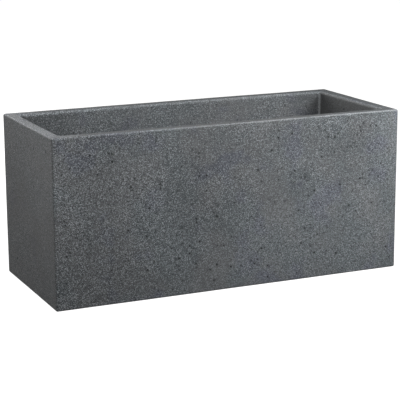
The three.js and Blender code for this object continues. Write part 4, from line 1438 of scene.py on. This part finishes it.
# %% [markdown]
# ## Filling shaft
#
# The shaft is a rectangular tube with a partition, so that the poured water and the float don't
# disturb each other. Its foot is a strainer that the tube pushes on to, and its head carries the fill
# opening, the hinge and the gauge window. Low bands round the tube stop soil from working down beside
# it. All three are stacks of rounded rectangles.

# %% Make the tube and the foot
shaft_low, shaft_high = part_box("shaft_tube")
SHAFT_HALF = half_size(shaft_low, shaft_high)
SHAFT_CORNER = 5 * MM
SHAFT_WALL = 2 * MM
SHAFT_FIT = 0.35 * MM
SPIGOT_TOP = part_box("shaft_foot")[1].z
PARTITION_X = SHAFT[0] + 7 * MM
STRAINER_SLOT_MIDDLE = 17.7 * MM
BANDS = np.linspace(shaft_low.z + 75 * MM, shaft_high.z - 40 * MM, 4)

tube_sizes = SHAFT_HALF, SHAFT_CORNER, SHAFT_WALL, shaft_low.z, shaft_high.z
outer = tube("outer", *tube_sizes, BANDS, SHAFT)
partition_half = (SHAFT_WALL / 2, SHAFT_HALF[1] - SHAFT_WALL + 0.3 * MM)
partition_ends = SPIGOT_TOP + MM, shaft_high.z - 0.1 * MM
partition_place = (PARTITION_X, SHAFT[1])
partition = slab("partition", partition_half, 0.2 * MM, *partition_ends, partition_place, 0.15 * MM)
shaft_tube = combine("moulded_shaft_tube", outer, partition)
finished(shaft_tube, "shaft", SHAFT_PLASTIC, "shaft_tube")


def strainer():
    """The shaft's foot: a box with a spigot on top, hollowed, with upright slots on all four sides."""
    foot, box_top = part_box("shaft_foot")[0].z, shaft_low.z - 0.3 * MM
    spigot = SHAFT_HALF - SHAFT_WALL - SHAFT_FIT
    box = slab("moulded_shaft_foot", SHAFT_HALF, SHAFT_CORNER, foot, box_top, SHAFT, 0.8 * MM)
    fuse(box, slab("spigot", spigot, SHAFT_CORNER - SHAFT_WALL, box_top - MM, SPIGOT_TOP, SHAFT))
    room = slab("room", spigot - SHAFT_WALL, 3 * MM, foot + 2.7 * MM, SPIGOT_TOP + 2 * MM, SHAFT)
    outlet = slab("outlet", spigot - 4 * SHAFT_WALL, 3 * MM, foot - MM, foot + 4 * MM, SHAFT)
    z = foot + STRAINER_SLOT_MIDDLE
    slots = []
    for step in range(-2, 3):
        place = (SHAFT[0] + step * 12 * MM, SHAFT[1], z)
        slots += [slot_tool(2.5 * MM, 10 * MM, 5 * MM, 50 * MM, turn, place) for turn in (0, math.pi)]
    for step in range(-1, 2):
        place = (SHAFT[0], SHAFT[1] + step * 10 * MM, z)
        for turn in (math.pi / 2, -math.pi / 2):
            slots.append(slot_tool(2 * MM, 10 * MM, 31 * MM, 50 * MM, turn, place))
    cut_with(box, room, outlet, combine("slots", *slots))
    return softened(box)


finished(strainer(), "shaft", SHAFT_PLASTIC, "shaft_foot")

# %% [markdown]
# ### Head, lid and pin
#
# The head is a cap that slips over the tube. Two ears stand on it, and a steel pin goes through them
# and through the lid's knuckle. A raised water drop on the lid tells what the opening is for.

# %% Make the head, the lid and the pin
head_low, head_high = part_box("shaft_head")
HEAD_HALF = half_size(head_low, head_high)
lid_low, lid_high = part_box("fill_lid")
pin_middle = middle_of("lid_pin")
window_low, window_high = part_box("gauge_window")
WINDOW = middle_xy("gauge_window")
PIN_RADIUS = 1.25 * MM
PIN_PLAY = 0.3 * MM
KNUCKLE_RADIUS = 2.2 * MM
PAST_PIN = 22 * MM
SIGHT_RADIUS = 9.3 * MM
EAR_HALF = 15 * MM
EAR_THICK = 3 * MM
EAR_RADIUS = head_high.z - pin_middle.z
HEAD_TOP = lid_low.z - 0.3 * MM
FILL_HALF = np.array([17, 15]) * MM
FILL_PLACE = SHAFT - [15 * MM, 0]
PIN_PLACE = (pin_middle.x, SHAFT[1], pin_middle.z)


def level_rod(name, radius, half_length, place, sides=32, edge=0.2 * MM):
    """A round bar along Y, through a place, with softened ends."""
    profile = [
        (0, -half_length),
        (radius - edge, -half_length),
        (radius, -half_length + edge),
        (radius, half_length - edge),
        (radius - edge, half_length),
        (0, half_length),
    ]
    return turned(name, profile, sides, place, "+Y")


def shaft_head():
    """The head: a cap with two ears, from which the sleeve, the openings and the pin's hole are cut."""
    head = slab("moulded_shaft_head", HEAD_HALF, 8 * MM, head_low.z, HEAD_TOP, SHAFT, 1.4 * MM)
    for y in (SHAFT[1] - EAR_HALF, SHAFT[1] + EAR_HALF):
        place = (pin_middle.x, y)
        ear_half = (EAR_RADIUS, EAR_THICK / 2)
        ear = slab("ear", ear_half, 0.3 * MM, HEAD_TOP - 2 * MM, pin_middle.z, place, 0.1 * MM)
        fuse(head, ear, level_rod("cap", EAR_RADIUS, EAR_THICK / 2, (*place, pin_middle.z)))
    sleeve_half = SHAFT_HALF + SHAFT_FIT
    cut_with(
        head,
        slab("sleeve", sleeve_half, SHAFT_CORNER, head_low.z - 3 * MM, shaft_high.z + 0.3 * MM, SHAFT),
        slab("fill", FILL_HALF, 4 * MM, shaft_high.z - 3 * MM, HEAD_TOP + 3 * MM, FILL_PLACE),
        turned("sight", rod_profile(SIGHT_RADIUS, HEAD_TOP - 5 * MM, HEAD_TOP + 4 * MM), 48, (*WINDOW, 0)),
        level_rod("pin_hole", PIN_RADIUS + PIN_PLAY, PAST_PIN, PIN_PLACE),
    )
    return softened(head, 0.35 * MM)


def drop_outline(height, points=40):
    """A water drop: x = sin t * sin(t/2) ** 1.5, y = cos t, whose tip points along +Y."""
    t = np.arange(points) * 2 * np.pi / points
    shape = np.stack([-np.sin(t) * np.sin(t / 2) ** 1.5, np.cos(t)], axis=1)
    return shape * height / 2


def fill_lid():
    """The lid: a plate with a notch for the ears, a knuckle on a bridge, a lip and a raised drop."""
    top = lid_low.z + 2 * MM
    knuckle_half = EAR_HALF - EAR_THICK
    plate_place = FILL_PLACE + [MM, 0]
    plate = slab("lid", FILL_HALF + [3 * MM, 4 * MM], 3 * MM, lid_low.z, top, plate_place, 0.5 * MM)
    cut_with(plate, slab("ears", (4 * MM, 25 * MM), MM, lid_low.z - MM, top + MM, PIN_PLACE[:2]))
    bridge_half = (2.5 * MM, knuckle_half - 0.05 * MM)
    bridge_place = (pin_middle.x + 3 * MM, SHAFT[1])
    bridge = slab("bridge", bridge_half, 0.3 * MM, lid_low.z, top, bridge_place, 0.1 * MM)
    knuckle = level_rod("knuckle", KNUCKLE_RADIUS, knuckle_half, PIN_PLACE)
    lip_place = (lid_high.x - 1.5 * MM, SHAFT[1])
    lip = slab("lip", (1.5 * MM, 8 * MM), 1.2 * MM, lid_low.z + MM, lid_high.z, lip_place, 0.5 * MM)
    fuse(plate, bridge, knuckle, lip)
    cut_with(plate, level_rod("bore", PIN_RADIUS + PIN_PLAY, PAST_PIN, PIN_PLACE))
    softened(plate)
    drop = drop_outline(15 * MM) + plate_place
    smaller = drop_outline(14 * MM) + plate_place
    raised = [(drop, top - 0.4 * MM), (drop, top + 0.4 * MM), (smaller, top + 0.7 * MM)]
    return combine("moulded_fill_lid", plate, capped("drop", [layer(shape, z) for shape, z in raised]))


finished(shaft_head(), "shaft", SHAFT_PLASTIC, "shaft_head")
finished(fill_lid(), "lid", SHAFT_PLASTIC, "fill_lid")
pin_half = half_size(*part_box("lid_pin"))[1]
pin = level_rod("steel_lid_pin", PIN_RADIUS, pin_half, pin_middle, 32, 0.3 * MM)
finished(pin, "shaft", STEEL, "lid_pin")

# %% [markdown]
# ### Float gauge
#
# A hollow float rises with the water and pushes a rod up, and the red disc on the rod shows in the
# clear dome on the head. The float is welded from two cups, which leaves a seam round its middle.

# %% Make the gauge
float_low, float_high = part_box("gauge_float")
FLOAT_RADIUS = (float_high.y - float_low.y) / 2
disc_low, disc_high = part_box("gauge_disc")
rod_low, rod_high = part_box("gauge_rod")
GAUGE = (*WINDOW, 0)


def rounded_profile(radius, z0, z1, edge):
    """A turned solid's profile with quarter circles at its bottom and top edges."""
    bend = np.linspace(0, QUARTER_TURN, 5)
    out, rise = radius - edge + edge * np.sin(bend), edge * (1 - np.cos(bend))
    lower = list(zip(out, z0 + rise))
    upper = list(zip(out[::-1], z1 - rise[::-1]))
    return [(0, z0), *lower, *upper, (0, z1)]


def float_profile():
    """The float's profile, with the low ridge of its weld half way up."""
    seam = (float_low.z + float_high.z) / 2
    profile = rounded_profile(FLOAT_RADIUS - 0.3 * MM, float_low.z, float_high.z, 2.5 * MM)
    weld = [(-0.9, -0.3), (-0.5, 0), (0.5, 0), (0.9, -0.3)]
    middle = len(profile) // 2
    rings = [(FLOAT_RADIUS + stands * MM, seam + step * MM) for step, stands in weld]
    return profile[:middle] + rings + profile[middle:]


gauge_float = turned("moulded_gauge_float", float_profile(), 64, GAUGE)
finished(gauge_float, "gauge", FLOAT_PLASTIC, "gauge_float")
rod = turned("moulded_gauge_rod", rounded_profile(1.5 * MM, rod_low.z, rod_high.z, 0.2 * MM), 24, GAUGE)
finished(rod, "gauge", FLOAT_PLASTIC, "gauge_rod")
disc_radius = (disc_high.y - disc_low.y) / 2
disc_profile = rounded_profile(disc_radius, disc_low.z, disc_high.z, 1.2 * MM)
disc = turned("moulded_gauge_disc", disc_profile, 48, GAUGE)
finished(disc, "gauge", INDICATOR, "gauge_disc")

DOME_RADIUS, DOME_WALL, DOME_ROUND = 9 * MM, 1.2 * MM, 3 * MM
dome_bend = np.linspace(0, QUARTER_TURN, 7)
dome_flange = (window_high.y - window_low.y) / 2


def dome_side(inset):
    """The rounded top of the dome's outside, or of its inside, as a profile up to the axis."""
    curve, top = DOME_ROUND - inset, window_high.z - inset
    middle_radius, middle_height = DOME_RADIUS - inset - curve, top - curve
    arc = zip(middle_radius + curve * np.cos(dome_bend), middle_height + curve * np.sin(dome_bend))
    return [*arc, (0, top)]


dome_profile = [
    (DOME_RADIUS - DOME_WALL, window_low.z),
    (dome_flange, window_low.z),
    (dome_flange, shaft_high.z),
    (DOME_RADIUS, shaft_high.z),
    *dome_side(0),
    *dome_side(DOME_WALL)[::-1],
]
dome_profile.append(dome_profile[0])
dome = turned("clear_gauge_window", dome_profile, 64, GAUGE)
finished(dome, "shaft", CLEAR_PLASTIC, "gauge_window")

# %% [markdown]
# ## Overflow, drain and vents
#
# Water that stands too high leaves through a threaded spout in the back wall. Its flange and a rubber
# seal are inside, a hexagon nut holds it in the pocket outside, and a rubber bung closes it indoors.
# The drain is a screw plug with a wing, and it presses a gasket on to the floor. Both threads are a
# cylinder whose radius goes in and out along a helix.


# %% Threads and washers
ROWS_A_TURN = 8
THREAD_SHARP_ANGLE = 50


def threaded(name, radius, depth, pitch, z0, z1, sides, centre, towards):
    """A threaded sleeve or rod: the radius at height z and angle a is lowered by the depth times the
    distance of z / pitch - a / 2 pi from a whole number, doubled. It fades out at both ends, and a
    point on the axis at each end closes it."""
    rows = int((z1 - z0) / pitch * ROWS_A_TURN)
    z = np.linspace(z0, z1, rows + 1)[:, None]
    angle = np.arange(sides) * 2 * np.pi / sides
    turns = z / pitch - angle / (2 * np.pi)
    groove = 2 * np.abs(turns - np.round(turns))
    fade = np.clip(np.minimum(z - z0, z1 - z) / pitch * 2, 0, 1)
    across = radius - depth * (groove * fade + (1 - fade) * 0.5)
    x, y = across * np.cos(angle), across * np.sin(angle)
    height = np.broadcast_to(z, x.shape)
    x, y = (np.pad(values, ((1, 1), (0, 0))) for values in (x, y))
    height = np.pad(height, ((1, 1), (0, 0)), "edge")
    points = aimed(x, y, height, towards, centre)
    return mesh_object(name, points, quads_between(len(points), sides).tolist(), THREAD_SHARP_ANGLE)


def washer(name, inner, outer, start, end, edge, centre, towards, sides=64):
    """A ring with rounded edges."""
    profile = [
        (inner + edge, start),
        (outer - edge, start),
        (outer, start + edge),
        (outer, end - edge),
        (outer - edge, end),
        (inner + edge, end),
        (inner, end - edge),
        (inner, start + edge),
        (inner + edge, start),
    ]
    return turned(name, profile, sides, centre, towards)


# %% Make the overflow
seal_low, seal_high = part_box("overflow_seal")
nut_low, nut_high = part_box("overflow_nut")
bung_low, bung_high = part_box("overflow_bung")
OUTLET = (OVERFLOW[0], 0, OVERFLOW[2])
SPOUT_RADIUS = 8.8 * MM
SPOUT_BORE = 6.5 * MM
FLANGE_RADIUS = (spout_high.x - spout_low.x) / 2
FLANGE_THICK = 2.5 * MM
BORE_PLAY = 0.3 * MM
SPOUT_THREAD = (0.5 * MM, 2 * MM)  # depth and pitch

spout_ends = spout_low.y + MM, spout_high.y
spout = threaded("moulded_overflow_spout", SPOUT_RADIUS, *SPOUT_THREAD, *spout_ends, 64, OUTLET, "+Y")
flange_profile = rounded_profile(FLANGE_RADIUS, spout_low.y, spout_low.y + FLANGE_THICK, 0.6 * MM)
fuse(spout, turned("flange", flange_profile, 64, OUTLET, "+Y"))
bore_place = (OVERFLOW[0], spout_high.y - 20 * MM, OVERFLOW[2])
cut_with(spout, level_rod("bore", SPOUT_BORE, 40 * MM, bore_place, 48))
finished(spout, "trough", SHAFT_PLASTIC, "overflow_spout")

seal_rings = SPOUT_RADIUS + BORE_PLAY, FLANGE_RADIUS, seal_low.y, seal_high.y
seal = washer("rubber_overflow_seal", *seal_rings, 0.5 * MM, OUTLET, "+Y")
finished(seal, "trough", RUBBER, "overflow_seal")


def hexagon_nut():
    """A six-sided nut with a corner on top. Its corners are cut back by a cone on both faces."""
    radius = (nut_high.z - nut_low.z) / 2
    half = (nut_high.y - nut_low.y) / 2
    angle = np.arange(6) * np.pi / 3 + QUARTER_TURN
    shape = np.stack([np.cos(angle), np.sin(angle)], axis=1) * radius
    nut = capped("moulded_overflow_nut", [layer(shape, -half), layer(shape, half)])
    face, waist = radius * 0.88, radius * 1.03
    cone = [(0, -half), (face, -half), (waist, -half * 0.5), (waist, half * 0.5), (face, half), (0, half)]
    boolean("INTERSECT", nut, [turned("cone", cone, 64)])
    place = middle_of("overflow_nut")
    moved(nut, Matrix.Translation(place) @ LAID_DOWN)
    cut_with(nut, level_rod("hole", SPOUT_RADIUS + BORE_PLAY, 9 * MM, place, 48))
    return softened(nut, 0.25 * MM)


finished(hexagon_nut(), "trough", SHAFT_PLASTIC, "overflow_nut")

# The bung: a plug that tapers into the spout, a collar on the seat, a neck and a knob to pull.
seat, knob = bung_low.y + 10 * MM, bung_high.y
bung_profile = [
    (0, bung_low.y),
    (SPOUT_BORE - 1.6 * MM, bung_low.y),
    (SPOUT_BORE - 0.8 * MM, bung_low.y + 0.8 * MM),
    (SPOUT_BORE - 0.3 * MM, seat),
    (SPOUT_RADIUS - 0.4 * MM, seat),
    (SPOUT_RADIUS, seat + 0.4 * MM),
    (SPOUT_RADIUS, seat + 1.6 * MM),
    (SPOUT_RADIUS - 0.4 * MM, seat + 2 * MM),
    (4.6 * MM, seat + 2 * MM),
    (4 * MM, seat + 2.7 * MM),
    (4.6 * MM, seat + 3.4 * MM),
    (SPOUT_RADIUS - 1.5 * MM, seat + 3.4 * MM),
    (SPOUT_RADIUS - MM, seat + 3.9 * MM),
    (SPOUT_RADIUS - MM, knob - 0.6 * MM),
    (SPOUT_RADIUS - 1.8 * MM, knob),
    (SPOUT_RADIUS - 4 * MM, knob),
    (SPOUT_RADIUS - 5 * MM, knob - 0.5 * MM),
    (0, knob - 0.7 * MM),
]
bung = turned("rubber_overflow_bung", bung_profile, 48, OUTLET, "+Y")
finished(bung, "bung", RUBBER, "overflow_bung")

# %% Make the drain and the vents
plug_low, plug_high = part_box("drain_plug")
gasket_low, gasket_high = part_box("drain_gasket")
PLUG_RADIUS = 16 * MM
PLUG_FLANGE = (gasket_high.x - gasket_low.x) / 2
flange_foot = gasket_high.z + 0.3 * MM
flange_top = flange_foot + 3.5 * MM
PLUG_THREAD = (0.9 * MM, 4 * MM)  # depth and pitch
ORIGIN = (0, 0, 0)
NOTCHES = 12
NOTCH_RADIUS = 3 * MM
NOTCH_PLACE = PLUG_FLANGE * 1.09
HOLLOW_RADIUS = 12.5 * MM

plug_ends = plug_low.z, flange_foot + MM
plug = threaded("moulded_drain_plug", PLUG_RADIUS, *PLUG_THREAD, *plug_ends, 96, ORIGIN, "+Z")
plug_flange = turned("flange", rounded_profile(PLUG_FLANGE, flange_foot, flange_top, 0.8 * MM), 96)
wing = slab("wing", (17 * MM, 2.5 * MM), 2.4 * MM, flange_top - MM, plug_high.z, (0, 0), 0.9 * MM)
fuse(plug, plug_flange, wing)
notch_turns = np.arange(NOTCHES) * math.tau / NOTCHES
notch_places = [(NOTCH_PLACE * math.cos(turn), NOTCH_PLACE * math.sin(turn), 0) for turn in notch_turns]
notches = [turned("notch", rod_profile(NOTCH_RADIUS, 0, 60 * MM), 24, place) for place in notch_places]
cut_with(plug, turned("hollow", rod_profile(HOLLOW_RADIUS, -9 * MM, 22 * MM), 64), *notches)
finished(softened(plug, 0.3 * MM, 50), "drain_screw", SHAFT_PLASTIC, "drain_plug")

gasket_rings = PLUG_RADIUS + MM, PLUG_FLANGE, gasket_low.z, gasket_high.z
gasket = washer("rubber_drain_gasket", *gasket_rings, 0.5 * MM, ORIGIN, "+Z", 96)
finished(gasket, "drain_seal", RUBBER, "drain_gasket")

for side in SIDES:
    vent_low, vent_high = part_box(f"vent_plug_{side}")
    head_radius = (vent_high.y - vent_low.y) / 2
    head_top = vent_low.z + 1.5 * MM
    vent_profile = [
        (0, vent_low.z),
        (head_radius - 0.8 * MM, vent_low.z),
        (head_radius, vent_low.z + 0.6 * MM),
        (head_radius, head_top - 0.2 * MM),
        (head_radius - 0.2 * MM, head_top),
        (3.2 * MM, head_top),
        (3.2 * MM, vent_high.z - 3 * MM),
        (3.6 * MM, vent_high.z - 2.4 * MM),
        (2.6 * MM, vent_high.z),
        (0, vent_high.z),
    ]
    vent = turned(f"moulded_vent_plug_{side}", vent_profile, 32, (middle_of(f"vent_plug_{side}").x, 0, 0))
    finished(vent, "trough", DECK_PLASTIC, f"vent_plug_{side}")
